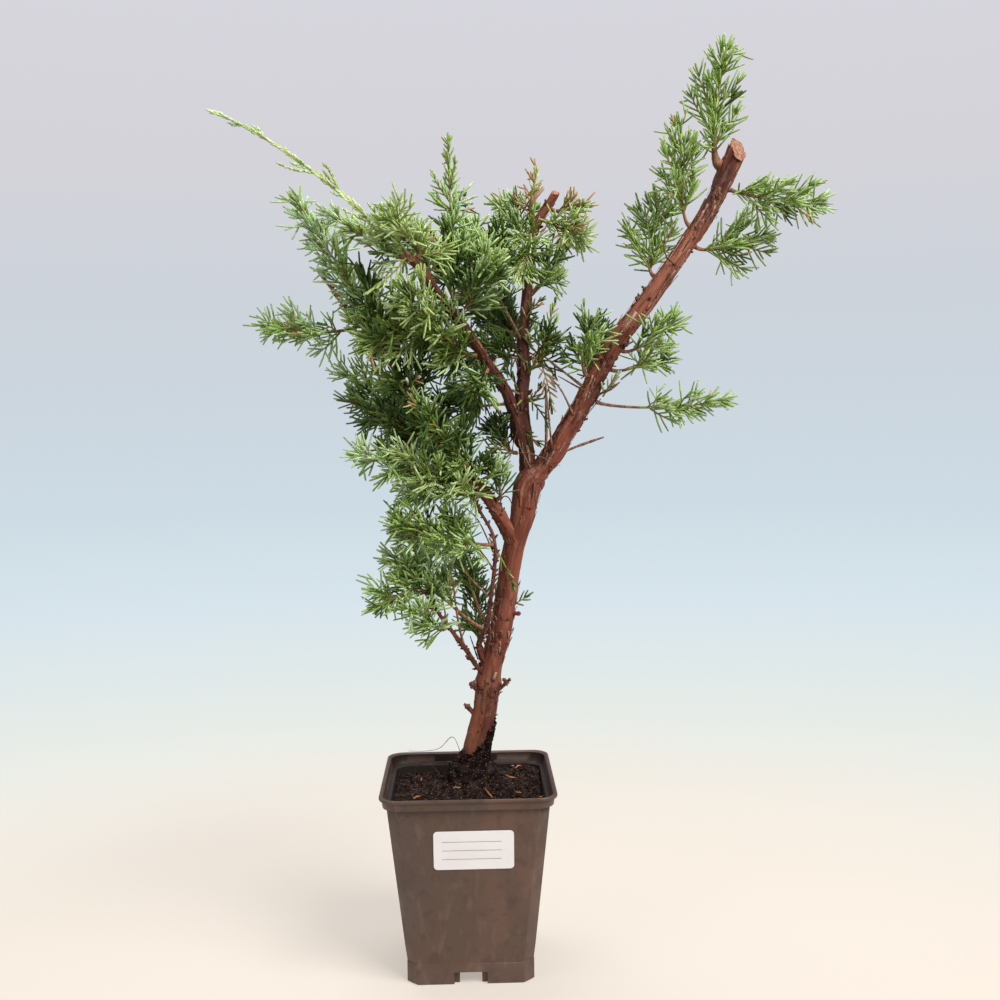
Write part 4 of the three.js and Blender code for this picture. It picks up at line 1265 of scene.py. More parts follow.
# a bough starts inside the limb it comes from: that limb, how far below the fork, and its swelling there
boughRoots = {
    "right_bough": ("trunk", 15, 0.25),
    "centre_bough": ("trunk", 13, 0.15),
    "left_bough": ("centre_bough", 9, 0.15),
    "low_left_bough": ("trunk", 8, 0.1),
}
shagginess = {"trunk": 0.62, "right_bough": 1.75, "inner_stem": 1, "low_stem": 1}
limbStainsAndShade = {
    "trunk": soilStainAndShade, "centre_bough": crownStainsAndShade, "left_bough": crownStainsAndShade,
    "inner_stem": stemStain, "low_stem": stemStain,
}
# the old knuckle of the trunk, and its top that is drawn in between the boughs
knuckle = {"z": 147, "rise": 0.9, "reach": 2.6}
trunkTop = {"length": 5, "share": 0.3}
barkFinish, cutFinish, deadFinish = range(3)


def rootCurve(name):
    # from a place on the axis of the parent, up along it, into the start of the bough
    parent = limbs[boughRoots[name][0]]
    start, way = limbs[name]["path"][0], limbWay(limbs[name], 0)
    distances = [(limbPoint(parent, k / 200) - start).length for k in range(201)]
    at = distances.index(min(distances)) / 200
    upWay = limbWay(parent, at)
    foot = limbPoint(parent, at) - upWay * boughRoots[name][1]
    handle = boughRoots[name][1] * 0.45
    return (foot, foot + upWay * handle, start - way * handle, start)


def pathLength(places):
    return sum((b - a).length for a, b in zip(places, places[1:]))


def limbRadii(name, lengths, lead, collar, length):
    limb = limbs[name]
    radii = []
    for at in lengths:
        swell = 1 + collar * math.exp(-max(at, 0) / 9) * smooth(-lead * 0.6, 2, at)
        rising = mix(0.55, 1, smooth(-lead, 0, at) if lead else smooth(0, 7, at))
        if name == "trunk":
            swell, rising = 1, 1
        if name == "right_bough":
            # it carries the trunk on without a step
            trunkEnd = limbRadius(limbs["trunk"], 1 + min(at, 0) / 170) * 0.97
            swell = mix(trunkEnd / limb["radius"][0], 1, smooth(-1, 13, at))
            rising = 1
        radii.append(limbRadius(limb, max(at, 0) / length) * swell * rising)
    return radii


def addStub(form, limb, number, at, end, radius, look):
    start, end = limbPoint(limb, at), Vector(end)
    reach = (end - start).length
    bend = across((end - start).normalized(), 2.1 * number) * (0.05 * reach)
    curve = (start, start.lerp(end, 0.33) + bend, start.lerp(end, 0.66) + bend * 0.6, end)
    rows = max(10, int(reach / barkRule["row"]))
    frames = framesOf(lambda t: curvePoint(curve, t), lambda t: curveWay(curve, t), rows, bend.normalized())
    radii = [mix(*radius, k / rows) * (1 + 0.25 * noise.noise(frames[k][0] * 0.8)) for k in range(rows + 1)]
    finish = barkFinish if radius[0] > 1.2 else deadFinish
    own = {
        "sides": 12, "seed": look["seed"] + number, "footCap": 0.3, "tipCap": 0.4, "shag": 1,
        "finish": finish, "tipFinish": deadFinish, "stainAndShade": look["stainAndShade"],
    }
    rollLimb(form, frames, radii, [k * reach / rows for k in range(rows + 1)], own)


def limbPiece(name, seed):
    limb = limbs[name]
    length = pathLength([limbPoint(limb, i / 400) for i in range(401)])
    lead, collar = (boughRoots[name][1], boughRoots[name][2]) if name in boughRoots else (0, 0.34)
    root = rootCurve(name) if lead else None
    share = lead / (lead + length)

    def pointAt(t):
        return curvePoint(root, t / share) if t < share else limbPoint(limb, (t - share) / (1 - share))

    def wayAt(t):
        return curveWay(root, t / share) if t < share else limbWay(limb, (t - share) / (1 - share))

    rows = int((lead + length) / barkRule["row"])
    frames = framesOf(pointAt, wayAt, rows, across(wayAt(0), 0))
    lengths = [i * (lead + length) / rows - lead for i in range(rows + 1)]
    radii = limbRadii(name, lengths, lead, collar, length)
    isTrunk = name == "trunk"
    if isTrunk:
        for i, (frame, at) in enumerate(zip(frames, lengths)):
            radii[i] += knuckle["rise"] * math.exp(-(((frame[0].z - knuckle["z"]) / knuckle["reach"]) ** 2))
            radii[i] *= 1 - trunkTop["share"] * smooth(length - trunkTop["length"], length, at)
    look = {
        "sides": max(14, int(2 * math.pi * max(limb["radius"]) / barkRule["facet"])),
        "seed": seed, "footCap": 0.5, "tipCap": 4.5 if isTrunk else 0.4, "shag": shagginess.get(name, 1.3),
        "finish": barkFinish, "tipFinish": barkFinish if isTrunk else cutFinish,
        "stainAndShade": limbStainsAndShade.get(name, fewStains), "torn": tornEnds.get(name),
    }
    form = bmesh.new()
    form.verts.layers.float_vector.new("grain")
    form.verts.layers.float.new("stainAndShade")
    rollLimb(form, frames, radii, lengths, look)
    for i, (on, at, end, radius) in enumerate(offshoots):
        if on == name:
            addStub(form, limb, i, at, end, radius, look)
    closeForm(form)
    mesh = meshFromBmesh("bark_" + name, form)
    addPiece("bark_" + name, mesh, [barkSmooth if isTrunk else barkRough, cutWood, deadWood], "bark", name)
    return len(mesh.polygons)


faces = sum(limbPiece(name, i + 1) for i, name in enumerate(limbs))
print("limbs rolled:", faces, "faces")


# knobs: place and size of the rough old stumps of shoots on the trunk and the right bough
knobs = [
    (0.5, 9, 134, 1.9), (3.4, 5, 147, 2.1), (20.6, 4, 148, 2), (10, -1, 147.5, 1.6), (16, 0, 149, 1.5),
    (6.5, 2, 144.5, 1.5), (22, 0.5, 182.3, 1.4), (28, 1.5, 185.7, 1.3), (24.5, 2, 168.8, 1.2),
    (27, -1.5, 232, 1.6), (42.2, -0.5, 261, 2.1), (84, -5.5, 325.6, 2.2), (87.5, -4, 326.5, 1.8),
    (90, -3, 351, 1.9), (92.5, -3, 357, 1.7), (66, -4, 303, 1.7), (76, -5, 315, 1.5),
]
knobLumps = (0.72, 0.5, 0.42, 0.36)  # radius of each lump of a knob, as a share of its size


def makeKnobs():
    form = bmesh.new()
    for k, (x, y, z, size) in enumerate(knobs):
        place = Vector((x, y, z))
        gaps = gapsToLimbs([place])[0]
        i = int(gaps.argmin())
        a, b = Vector(limbRods["a"][i]), Vector(limbRods["b"][i])
        out = place - (a + b) / 2
        out -= (b - a) * (out.dot(b - a) / (b - a).length_squared)
        place -= out.normalized() * (max(gaps[i], 0) + 0.2 * size)
        for j, part in enumerate(knobLumps):
            shift = Vector([chance(70 + k, 10 * j + c) - 0.5 for c in range(3)]) * (1.7 * size * (j > 0))
            made = bmesh.ops.create_icosphere(form, subdivisions=3, radius=size * part * mm)["verts"]
            for vert in made:
                spot = vert.co / mm
                rough = noise.fractal(spot * 1.3 + Vector((k * 7 + j, 0, 0)), 0.8, 2.0, 4)
                crease = noise.noise(Vector((spot.x, spot.y, spot.z * 0.3)) * 2.4 + Vector((0, k * 5, j)))
                vert.co *= 1 + 0.55 * rough + 0.25 * crease
                vert.co += (place + shift) * mm
    return meshFromBmesh("bark_knobs", form)


addPiece("bark_knobs", makeKnobs(), [stubBark], "bark")

# small nubs where needles once sat: how many on each limb, and their size
nubRule = {
    "trunk": (26, 0.75), "right_bough": (34, 0.9), "centre_bough": (40, 0.8), "left_bough": (34, 0.7),
    "low_left_bough": (54, 0.7), "inner_stem": (76, 0.68), "low_stem": (44, 0.65),
}


def makeNubs():
    form = bmesh.new()
    for number, (name, (count, size)) in enumerate(nubRule.items()):
        limb = limbs[name]
        seed = 90 + number
        for k in range(count):
            t = mix(0.12 if name == "trunk" else 0.04, 0.97, chance(seed, k))
            along = limbWay(limb, t)
            out = across(along, 6.28 * chance(seed, k + 200))
            place = limbPoint(limb, t) + out * (limbRadius(limb, t) * 0.97)
            tilt = (out + along * 0.8).normalized()
            stretch = 1 + 1.6 * chance(seed, k + 400) ** 2
            made = bmesh.ops.create_icosphere(form, subdivisions=2, radius=1)["verts"]
            for vert in made:
                rough = 1 + 0.4 * noise.noise(vert.co * 1.6 + Vector((k * 3, number, 0)))
                spot = vert.co * (size * rough * (0.6 + 0.5 * chance(seed, k + 600)))
                spot += tilt * (spot.dot(tilt) * stretch)
                vert.co = (place + spot) * mm
    return meshFromBmesh("bark_nubs", form)


addPiece("bark_nubs", makeNubs(), [stubBark], "bark")

# bare dead twigs, from the foot to the tip, with the radius at the foot
deadTwigs = [
    ([(37, 1, 259), (30.7, -6, 271.4), (28.7, -7, 277.2)], 0.5),
    ([(43.2, -3, 267.1), (33.6, -9, 270.5), (25.8, -10, 271.7), (28, -10, 281.9)], 0.5),
    ([(46.7, -2, 269.2), (44.6, -10, 287.4), (43.2, -10, 304.8)], 0.7),
    ([(66, -2, 301), (57.6, -10, 305.2), (49.3, -12, 309.8)], 0.7),
    ([(57.7, -4, 290), (50, -10, 304), (39.6, -12, 314)], 0.6),
    ([(69.7, -3, 300), (76.2, -10, 302.3), (81.1, -12, 306.3)], 0.6),
    ([(75, -3, 317), (70, -12, 322), (71, -14, 331)], 0.5),
    ([(6.2, 5, 160.6), (2.2, 0, 174)], 0.5),
    ([(12.5, -6, 250), (20, -9, 261.9), (24.8, -8, 269.6)], 0.5),
    ([(17.8, -3, 242), (20.3, -9, 247.9), (23.4, -9, 247.4), (25.6, -4, 242)], 0.4),
    ([(-9.6, -12, 184), (-13, -14, 200.5), (-15.9, -15, 208.6)], 0.5),
    ([(14.5, -7, 211), (5, -9, 224), (-6.3, -11, 232.4)], 0.6),
    ([(12, -5.6, 196), (1.6, -9, 207.5), (-4.9, -11, 219.9)], 0.6),
    ([(15, -8, 219), (7.3, -9, 236), (-0.9, -11, 244.1)], 0.5),
    ([(31.5, 2, 300), (22, -8, 306), (13, -10, 318)], 0.6),
    ([(32, 3, 315), (38, -6, 322), (45, -10, 324)], 0.5),
    ([(31.5, 3, 285), (24, -4, 296), (22, -10, 303)], 0.5),
    ([(112, -3, 366), (106, -9, 370), (103, -12, 378)], 0.5),
]


def pathTube(path, radius, tip, gap, seed, sides=6):
    # a thin twig through given places, a little uneven
    curve = {"path": [Vector(p) for p in path]}
    rings = max(6, int(pathLength(curve["path"]) / gap))
    first = across(limbWay(curve, 0), 0)
    frames = framesOf(lambda t: limbPoint(curve, t), lambda t: limbWay(curve, t), rings, first)
    radii = []
    for i, frame in enumerate(frames):
        rough = 1 + 0.4 * noise.noise(frame[0] * 0.9 + Vector((seed, 0, 0)))
        radii.append(mix(radius, tip, i / rings) * rough)
    return tubeArrays(frames, radii, sides)


dead = [(pathTube(path, radius, 0.22, 1, k), k % 2) for k, (path, radius) in enumerate(deadTwigs)]
addPiece("dead_twigs", joinTubes("dead_twigs", dead), [deadWood, stubBark], "bark")
print("knobs and dead twigs:", len(knobs), len(deadTwigs))


# loose strips of bark that lift at one end: count, longest, widest and lift on each limb
stripRule = {
    "trunk": (46, 10, 1.4, 0.9), "right_bough": (190, 15, 1.9, 3), "centre_bough": (60, 11, 1.5, 1.8),
    "left_bough": (36, 9, 1.3, 1.6), "low_left_bough": (36, 9, 1.3, 1.5),
}
stripShape = {"steps": 7, "thick": 0.14, "sag": 0.075, "gap": 0.25}
plainStrip, darkStrip, paleStrip = range(3)


def barkStrip(limb, at, turn, length, width, lift, span):
    # a flat rod of four corners a step, with span for the length of the limb
    steps = stripShape["steps"]
    points, triangles = [], []
    for i in range(steps):
        share = i / (steps - 1)
        t = min(at + share * length / span, 0.985)
        along = limbWay(limb, t)
        out = across(along, turn + 0.15 * i / steps)
        side = along.cross(out)
        centre = limbPoint(limb, t) + out * (limbRadius(limb, t) + stripShape["gap"] + lift * share ** 2.2)
        half = width * (0.35 + 0.65 * math.sin(math.pi * min(0.5 + 0.55 * (1 - share), 1))) / 2
        half *= 1 + 0.3 * noise.noise(centre * 0.8)
        for hand, level in ((-1, -1), (1, -1), (1, 1), (-1, 1)):
            height = stripShape["thick"] * level / 2 - stripShape["sag"]
            points.append(centre + side * (half * hand) + out * height)
    for i in range(steps - 1):
        a, b = 4 * i, 4 * (i + 1)
        for k in range(4):
            n = (k + 1) % 4
            triangles += [(a + k, b + k, b + n), (a + k, b + n, a + n)]
    top = 4 * (steps - 1)
    triangles += [(0, 1, 2), (0, 2, 3), (top + 2, top + 1, top), (top + 3, top + 2, top)]
    return points, triangles


def looseStrips():
    strips = []
    for number, (name, (count, longest, widest, lifted)) in enumerate(stripRule.items()):
        limb = limbs[name]
        span = pathLength(limb["path"])
        low = 0.14 if name == "trunk" else 0.06
        high = 0.9 if name == "right_bough" else 0.93
        seed = 50 + number
        for k in range(count):
            at = mix(low, high, chance(seed, k))
            turn = 2 * math.pi * chance(seed, k + 100)
            length = 3 + longest * chance(seed, k + 200) ** 2
            width = 0.5 + widest * chance(seed, k + 300) ** 1.5
            lift = 0.12 + lifted * chance(seed, k + 400) ** 4
            finish = (plainStrip, plainStrip, paleStrip, darkStrip)[k % 4]
            strips.append((barkStrip(limb, at, turn, length, width, lift, span), finish))
    return strips


def tornSlivers():
    # slivers that stand up round the torn end of the long bough, on its far side
    strips = []
    limb, span = limbs["right_bough"], 205
    for k in range(16):
        length = 5 + 6 * chance(68, k)
        turn = k * 0.39 + 0.3 * chance(69, k)
        if across(limbWay(limb, 0.97), turn).dot(tornEnds["right_bough"]["way"]) > -0.15:
            continue
        strip = barkStrip(limb, 0.985 - length / span, turn, length, 1.9, 0.5, span)
        strips.append((strip, (plainStrip, paleStrip)[k % 2]))
    return strips


def trunkScales():
    # the ragged scales round the old knuckle of the trunk, and small grey ones higher up
    strips = []
    limb, span = limbs["trunk"], 170
    for k in range(26):
        at = 0.34 + 0.022 * (chance(60, k) - 0.5)
        length = 2 + 2.4 * chance(61, k)
        lift = 0.5 + 1.5 * chance(63, k)
        strip = barkStrip(limb, at, k * 0.494 + chance(62, k), length, 1.9, lift, span)
        strips.append((strip, (plainStrip, darkStrip)[k % 2]))
    for k in range(60):
        at = mix(0.44, 0.68, chance(64, k))
        length = 1.6 + 3.4 * chance(65, k)
        lift = 0.15 + 0.9 * chance(67, k) ** 2
        strip = barkStrip(limb, at, 2 * math.pi * chance(66, k), length, 1.5, lift, span)
        strips.append((strip, (darkStrip, plainStrip, paleStrip)[k % 3]))
    return strips


strips = looseStrips() + tornSlivers() + trunkScales()
addPiece("bark_strips", joinTubes("bark_strips", strips), [stripBark, stubBark, palerBark], "bark")
print("bark strips:", len(strips))


# pot

potSize = {
    "rim": 90, "rimCorner": 9, "lipFoot": 86.6, "lipTop": 87.6, "bead": 1.8, "lip": 6,
    "shoulder": 82.5, "height": 100, "base": 65.4, "corner": 5.5, "plinth": 11, "wall": 1.3,
    "notchWidth": 17, "notchHeight": 6.3, "notchMouth": 2.5, "notchInner": 11.5, "notchDepth": 16,
    "drain": 6, "drainOffset": 19, "cornerSteps": 8, "softened": 0.12,
}
# width, depth, height and place of the slot in the left side of the lip, and of the tab at its back
lipSlot = (1.4, 32, 2.4, -42.15, 6, 95.6)
lipTab = (35, 0.9, 3.6, -1.2, 42.6, 97.3)


def outlinePoint(i, width, corner, roundness):
    # point i of a square with its corners cut (0) or rounded (1)
    quarter, step = divmod(i, potSize["cornerSteps"] + 1)
    share = step / potSize["cornerSteps"]
    inner = width / 2 - corner
    angle = share * math.pi / 2
    arc = Vector((math.cos(angle), math.sin(angle))) * corner
    cut = Vector((corner * (1 - share), corner * share))
    soft = cut.lerp(arc, potSize["softened"] if 0 < share < 1 else 0)
    spot = soft.lerp(arc, roundness) + Vector((inner, inner))
    turn = quarter * math.pi / 2
    cosine, sine = math.cos(turn), math.sin(turn)
    return Vector((spot.x * cosine - spot.y * sine, spot.x * sine + spot.y * cosine))


def wallWidth(z):
    # width of the pot outside, between plinth and lip
    p = potSize
    return mix(p["base"], p["shoulder"], (z - p["plinth"]) / (p["height"] - p["lip"] - p["plinth"]))


def potLevels():
    # height, width and roundness of the corners, up the outside and down the inside
    p = potSize
    wall = 2 * p["wall"]
    lipZ = p["height"] - p["lip"]
    beadZ = p["height"] - p["bead"]
    plinth = [
        (0, p["base"] - 0.8, 0), (0.4, p["base"], 0), (5, p["base"], 0), (p["plinth"] - 0.5, p["base"], 0),
        (p["plinth"], p["base"] - 0.5, 0), (p["plinth"] + 0.6, p["base"] - 0.2, 0),
    ]
    walls = [(z, wallWidth(z), 0) for z in (20, 32, 44, 56, 68, 80, 88)]
    lip = [
        (lipZ - 0.5, wallWidth(lipZ) - 0.1, 0), (lipZ, wallWidth(lipZ), 0.4),
        (lipZ + 0.05, p["lipFoot"] - 0.3, 1), (lipZ + 0.3, p["lipFoot"], 1),
        (beadZ - 0.3, p["lipTop"], 1), (beadZ, p["lipTop"] + 0.1, 1),
        (beadZ + 0.1, p["rim"] - 0.4, 1), (beadZ + 0.6, p["rim"], 1),
        (p["height"] - 0.5, p["rim"], 1), (p["height"] - 0.12, p["rim"] - 0.5, 1),
        (p["height"], p["rim"] - 1.3, 1), (p["height"] - 0.15, p["rim"] - 2.3, 1),
    ]
    lining = [
        (p["height"] - 0.8, p["lipTop"] - wall + 0.4, 1), (lipZ + 2, p["lipFoot"] - wall + 1.4, 1),
        (lipZ + 0.4, p["lipFoot"] - wall, 1), (lipZ + 0.05, p["lipFoot"] - wall - 0.6, 0.8),
        (lipZ - 0.5, wallWidth(lipZ) - wall, 0.2),
    ]
    lining += [(z, wallWidth(z) - wall, 0) for z in (86, 70, 50, 30)]
    lining += [(p["plinth"], p["base"] - wall, 0), (p["wall"], p["base"] - wall, 0)]
    return plinth + walls + lip + lining


def potBlock(form, width, depth, height, x, y, z):
    made = bmesh.ops.create_cube(form, size=1)
    bmesh.ops.scale(form, vec=(width * mm, depth * mm, height * mm), verts=made["verts"])
    bmesh.ops.translate(form, vec=(x * mm, y * mm, z * mm), verts=made["verts"])
    return made["verts"]


def cutChannels():
    # channels from the four notches, the drain holes and the slot in the lip
    p = potSize
    form = bmesh.new()
    for quarter in range(4):
        turn = Matrix.Rotation(quarter * math.pi / 2, 3, "Z")
        for wide, reach, high in (
            (p["notchWidth"], p["notchMouth"], p["notchHeight"]),
            (p["notchInner"], p["notchDepth"], p["notchHeight"] - 0.01 * quarter - 0.02),
        ):
            x = p["base"] / 2 + 0.5 - reach / 2
            verts = potBlock(form, reach + 1, wide, high + 1, x, 0, (high - 1) / 2)
            bmesh.ops.rotate(form, cent=(0, 0, 0), matrix=turn, verts=verts)
        spot = turn @ Vector((p["drainOffset"], p["drainOffset"], 0)) * mm
        bmesh.ops.create_cone(
            form, cap_ends=True, segments=24, radius1=p["drain"] / 2 * mm, radius2=p["drain"] / 2 * mm,
            depth=6 * mm, matrix=Matrix.Translation(spot),
        )
    potBlock(form, *lipSlot)
    return form


def channelRoofs():
    # the moulded shells over the four channels, inside the pot, and the tab on the back of the lip
    p = potSize
    wall = p["wall"]
    form = bmesh.new()
    potBlock(form, *lipTab)
    for quarter in range(4):
        turn = Matrix.Rotation(quarter * math.pi / 2, 3, "Z")
        for wide, reach in ((p["notchWidth"], p["notchMouth"]), (p["notchInner"], p["notchDepth"])):
            verts = potBlock(
                form, reach + wall, wide + 2 * wall, p["notchHeight"] + wall,
                p["base"] / 2 - 0.6 - (reach + wall) / 2, 0, (p["notchHeight"] + wall) / 2,
            )
            bmesh.ops.rotate(form, cent=(0, 0, 0), matrix=turn, verts=verts)
    return form


def potBody():
    # a ring of corners is drawn up the outside and down the inside, level by level
    form = bmesh.new()
    count = 4 * (potSize["cornerSteps"] + 1)
    levels = potLevels()

    def placeRing(verts, level):
        z, width, roundness = level
        corner = mix(potSize["corner"], potSize["rimCorner"], roundness)
        for i, vert in enumerate(verts):
            spot = outlinePoint(i, width, corner, roundness)
            vert.co = Vector((spot.x, spot.y, z)) * mm

    ring = [form.verts.new((0, 0, 0)) for i in range(count)]
    placeRing(ring, levels[0])
    form.faces.new(list(reversed(ring)))
    edges = list(form.edges)
    for level in levels[1:]:
        made = bmesh.ops.extrude_edge_only(form, edges=edges)["geom"]
        edges = [g for g in made if isinstance(g, bmesh.types.BMEdge)]
        partner = {}
        for vert in (g for g in made if isinstance(g, bmesh.types.BMVert)):
            for edge in vert.link_edges:
                partner[edge.other_vert(vert)] = vert
        ring = [partner[vert] for vert in ring]
        placeRing(ring, level)
    form.faces.new(ring)
    bmesh.ops.recalc_face_normals(form, faces=form.faces)
    return form


def makePot():
    tools = []
    for name, build in (("pot_body", potBody), ("pot_roofs", channelRoofs), ("pot_cutter", cutChannels)):
        tools.append(addObject(name, meshFromBmesh(name, build(), build is potBody)))
    body, roofs, cutter = tools
    for tool, how in ((roofs, "UNION"), (cutter, "DIFFERENCE")):
        cut = body.modifiers.new(tool.name, "BOOLEAN")
        cut.operation = how
        cut.object = tool
        cut.solver = "EXACT"
        cut.use_self = True
    graph = bpy.context.evaluated_depsgraph_get()
    mesh = bpy.data.meshes.new_from_object(body.evaluated_get(graph))
    for tool in tools:
        bpy.data.objects.remove(tool)
    mesh.name = "pot_shell"
    for polygon in mesh.polygons:
        polygon.use_smooth = True
    mesh.set_sharp_from_angle(angle=math.radians(38))
    # painted shade: the inner walls above the soil are marked here to be darkened, as shade falls there
    inner = mesh.attributes.new("inner", "FLOAT", "POINT")
    for i, vert in enumerate(mesh.vertices):
        x, y, z = abs(vert.co.x) / mm, abs(vert.co.y) / mm, vert.co.z / mm
        width = mix(potSize["lipFoot"], potSize["lipTop"], (z - 94) / 4.2)
        if z < 93.9:
            width = wallWidth(z)
        inside = max(x, y) < width / 2 - 0.9 and x + y < width - 6.6
        inner.data[i].value = 1 if inside and 80 < z < 99.4 else 0
    return mesh


potMesh = makePot()
addPiece("pot_shell", potMesh, [potPlastic], "pot", "pot")
print("pot:", len(potMesh.polygons), "faces")


# label

labelSize = {
    "width": 40.5, "height": 20.4, "corner": 2, "thick": 0.3, "x": 2.4, "z": 72.4, "gap": 0.12,
    "rule": 30, "ruleWidth": 0.28, "ruleGap": 4.6,
}


def labelPlace():
    # flat on the leaning front wall
    slope = (wallWidth(labelSize["z"]) - wallWidth(0)) / 2 / labelSize["z"]
    depth = wallWidth(labelSize["z"]) / 2 + labelSize["gap"]
    lean = Matrix.Rotation(math.pi / 2 + math.atan(slope), 4, "X")
    return Matrix.Translation(Vector((labelSize["x"], -depth, labelSize["z"])) * mm) @ lean


def makeLabel():
    form = bmesh.new()
    made = bmesh.ops.create_grid(form, x_segments=1, y_segments=1, size=0.5)
    bmesh.ops.scale(form, vec=(labelSize["width"] * mm, labelSize["height"] * mm, 1), verts=made["verts"])
    bmesh.ops.bevel(
        form, geom=list(form.verts), offset=labelSize["corner"] * mm, segments=6, profile=0.5,
        affect="VERTICES", material=-1,
    )
    faces = bmesh.ops.extrude_face_region(form, geom=list(form.faces))["geom"]
    top = [g for g in faces if isinstance(g, bmesh.types.BMVert)]
    bmesh.ops.translate(form, vec=(0, 0, labelSize["thick"] * mm), verts=top)
    rims = [e for e in form.edges if all(v in top for v in e.verts)]
    bmesh.ops.bevel(form, geom=rims, offset=0.1 * mm, segments=2, profile=0.5, affect="EDGES", material=-1)
    bmesh.ops.recalc_face_normals(form, faces=form.faces)
    bmesh.ops.transform(form, matrix=labelPlace(), verts=form.verts)
    return meshFromBmesh("label_sticker", form, False)


def makeRules():
    # thin plain printed lines, just proud of the paper
    form = bmesh.new()
    for row in (1, 0, -1):
        y = row * labelSize["ruleGap"]
        potBlock(form, labelSize["rule"], labelSize["ruleWidth"], 0.06, -1, y, labelSize["thick"] + 0.02)
    bmesh.ops.transform(form, matrix=labelPlace(), verts=form.verts)
    return meshFromBmesh("label_rules", form, False)


addPiece("label_sticker", makeLabel(), [labelPaper], "label", "label")
addPiece("label_rules", makeRules(), [ruleInk], "label")
print("label made")


# soil

soilRule = {
    "edge": 90, "foot": 84, "gap": 0.2, "moundRise": 8, "moundReach": 14, "heapRise": 4, "heapReach": 15,
    "heap": (30, 30), "cells": 120, "clump": 1.05,
}
# loose things on the soil: how many, over what width, and how far out toward a corner
crumbRule = {"count": 420, "reach": 74, "corner": 72, "smallest": 0.4, "growth": 1.3}
fibreRule = {"count": 300, "reach": 72, "corner": 68, "edge": 36, "shortest": 3, "growth": 9, "radius": 0.14}
crustRule = {"rows": 70, "sides": 90, "span": 0.26, "start": 93, "low": 15, "high": 39, "cone": 5.2}
foot = limbs["trunk"]["path"][0]


def soilHeight(x, y):
    fromTrunk = math.hypot(x - foot.x, y - foot.y) / soilRule["moundReach"]
    heapX, heapY = soilRule["heap"]
    fromHeap = math.hypot(x - heapX, y - heapY) / soilRule["heapReach"]
    rise = soilRule["moundRise"] * math.exp(-fromTrunk ** 2) + soilRule["heapRise"] * math.exp(-fromHeap ** 2)
    spot = Vector((x, y, 3))
    clumps = noise.fractal(spot * 0.16, 1.0, 2.0, 3) + 0.45 * noise.fractal(spot * 0.6, 0.8, 2.0, 3)
    cells = noise.voronoi(spot * 0.32)[0]
    lumps = 0.9 * (0.5 - min(cells[0], 1))
    return soilRule["edge"] + rise + soilRule["clump"] * (clumps + lumps)


def makeSoil():
    half = wallWidth(soilRule["edge"]) / 2 - potSize["wall"] - soilRule["gap"]
    form = bmesh.new()
    bmesh.ops.create_grid(form, x_segments=soilRule["cells"], y_segments=soilRule["cells"], size=half * mm)
    rim = [e for e in form.edges if e.is_boundary]
    made = bmesh.ops.extrude_edge_only(form, edges=rim)["geom"]
    low = [g for g in made if isinstance(g, bmesh.types.BMVert)]
    bmesh.ops.translate(form, vec=(0, 0, -1), verts=low)
    bmesh.ops.holes_fill(form, edges=[e for e in form.edges if e.is_boundary], sides=0)
    inner = half - potSize["corner"] + 0.6
    for vert in form.verts:
        x, y = vert.co.x / mm, vert.co.y / mm
        over = abs(x) + abs(y) - (half + inner)
        if over > 0:
            x -= math.copysign(over / 2, x)
            y -= math.copysign(over / 2, y)
        z = soilRule["foot"] if vert.co.z < -0.5 else soilHeight(x, y)
        vert.co = Vector((x, y, z)) * mm
    bmesh.ops.recalc_face_normals(form, faces=form.faces)
    return meshFromBmesh("soil_bed", form)


def makeCrumbs():
    form = bmesh.new()
    for k in range(crumbRule["count"]):
        x = (chance(71, k) - 0.5) * crumbRule["reach"]
        y = (chance(72, k) - 0.5) * crumbRule["reach"]
        if abs(x) + abs(y) > crumbRule["corner"]:
            continue
        size = crumbRule["smallest"] + crumbRule["growth"] * chance(73, k) ** 3
        made = bmesh.ops.create_icosphere(form, subdivisions=1, radius=size * mm)["verts"]
        centre = Vector((x, y, soilHeight(x, y) + 0.2 * size)) * mm
        for vert in made:
            vert.co *= 1 + 0.45 * noise.noise(vert.co / mm * 1.3 + Vector((k, 0, 0)))
            vert.co.z *= 0.75
            vert.co += centre
    return meshFromBmesh("soil_crumbs", form)


def looseFibre(start, heading, length, radius, seed, curl, lie=True):
    # a thin root or dead needle that lies on the soil or stands off it
    steps = 9
    points = []
    spot = Vector(start)
    for i in range(steps):
        points.append(spot.copy())
        heading += curl * (chance(seed, i) - 0.5)
        spot += Vector((math.cos(heading), math.sin(heading), 0)) * (length / steps)
        if lie:
            spot.z = soilHeight(spot.x, spot.y) + radius + 0.35 * chance(seed, i + 20)
        else:
            spot.z += length / steps * (0.9 - 1.4 * i / steps) * chance(seed, 50)
    frames = []
    for i, point in enumerate(points):
        along = (points[min(i + 1, steps - 1)] - points[max(i - 1, 0)]).normalized()
        u = across(along, 0)
        frames.append((point, along, u, along.cross(u)))
    radii = [radius * math.sin(math.pi * (0.12 + 0.8 * i / (steps - 1))) for i in range(steps)]
    return tubeArrays(frames, radii, 4), 0


# thin root hairs that stand up beside the trunk
rootHairs = [
    [(-3, 16, 104), (-7.9, 12, 116.8), (-15, 10, 111.5), (-23.1, 8, 110.5), (-31.7, 8, 110.7)],
    [(-14, 14, 94), (-22, 20, 101), (-28, 22, 99), (-29, 18, 93)],
    [(-5, 14, 100), (-11, 10, 104), (-15, 10, 99)],
]


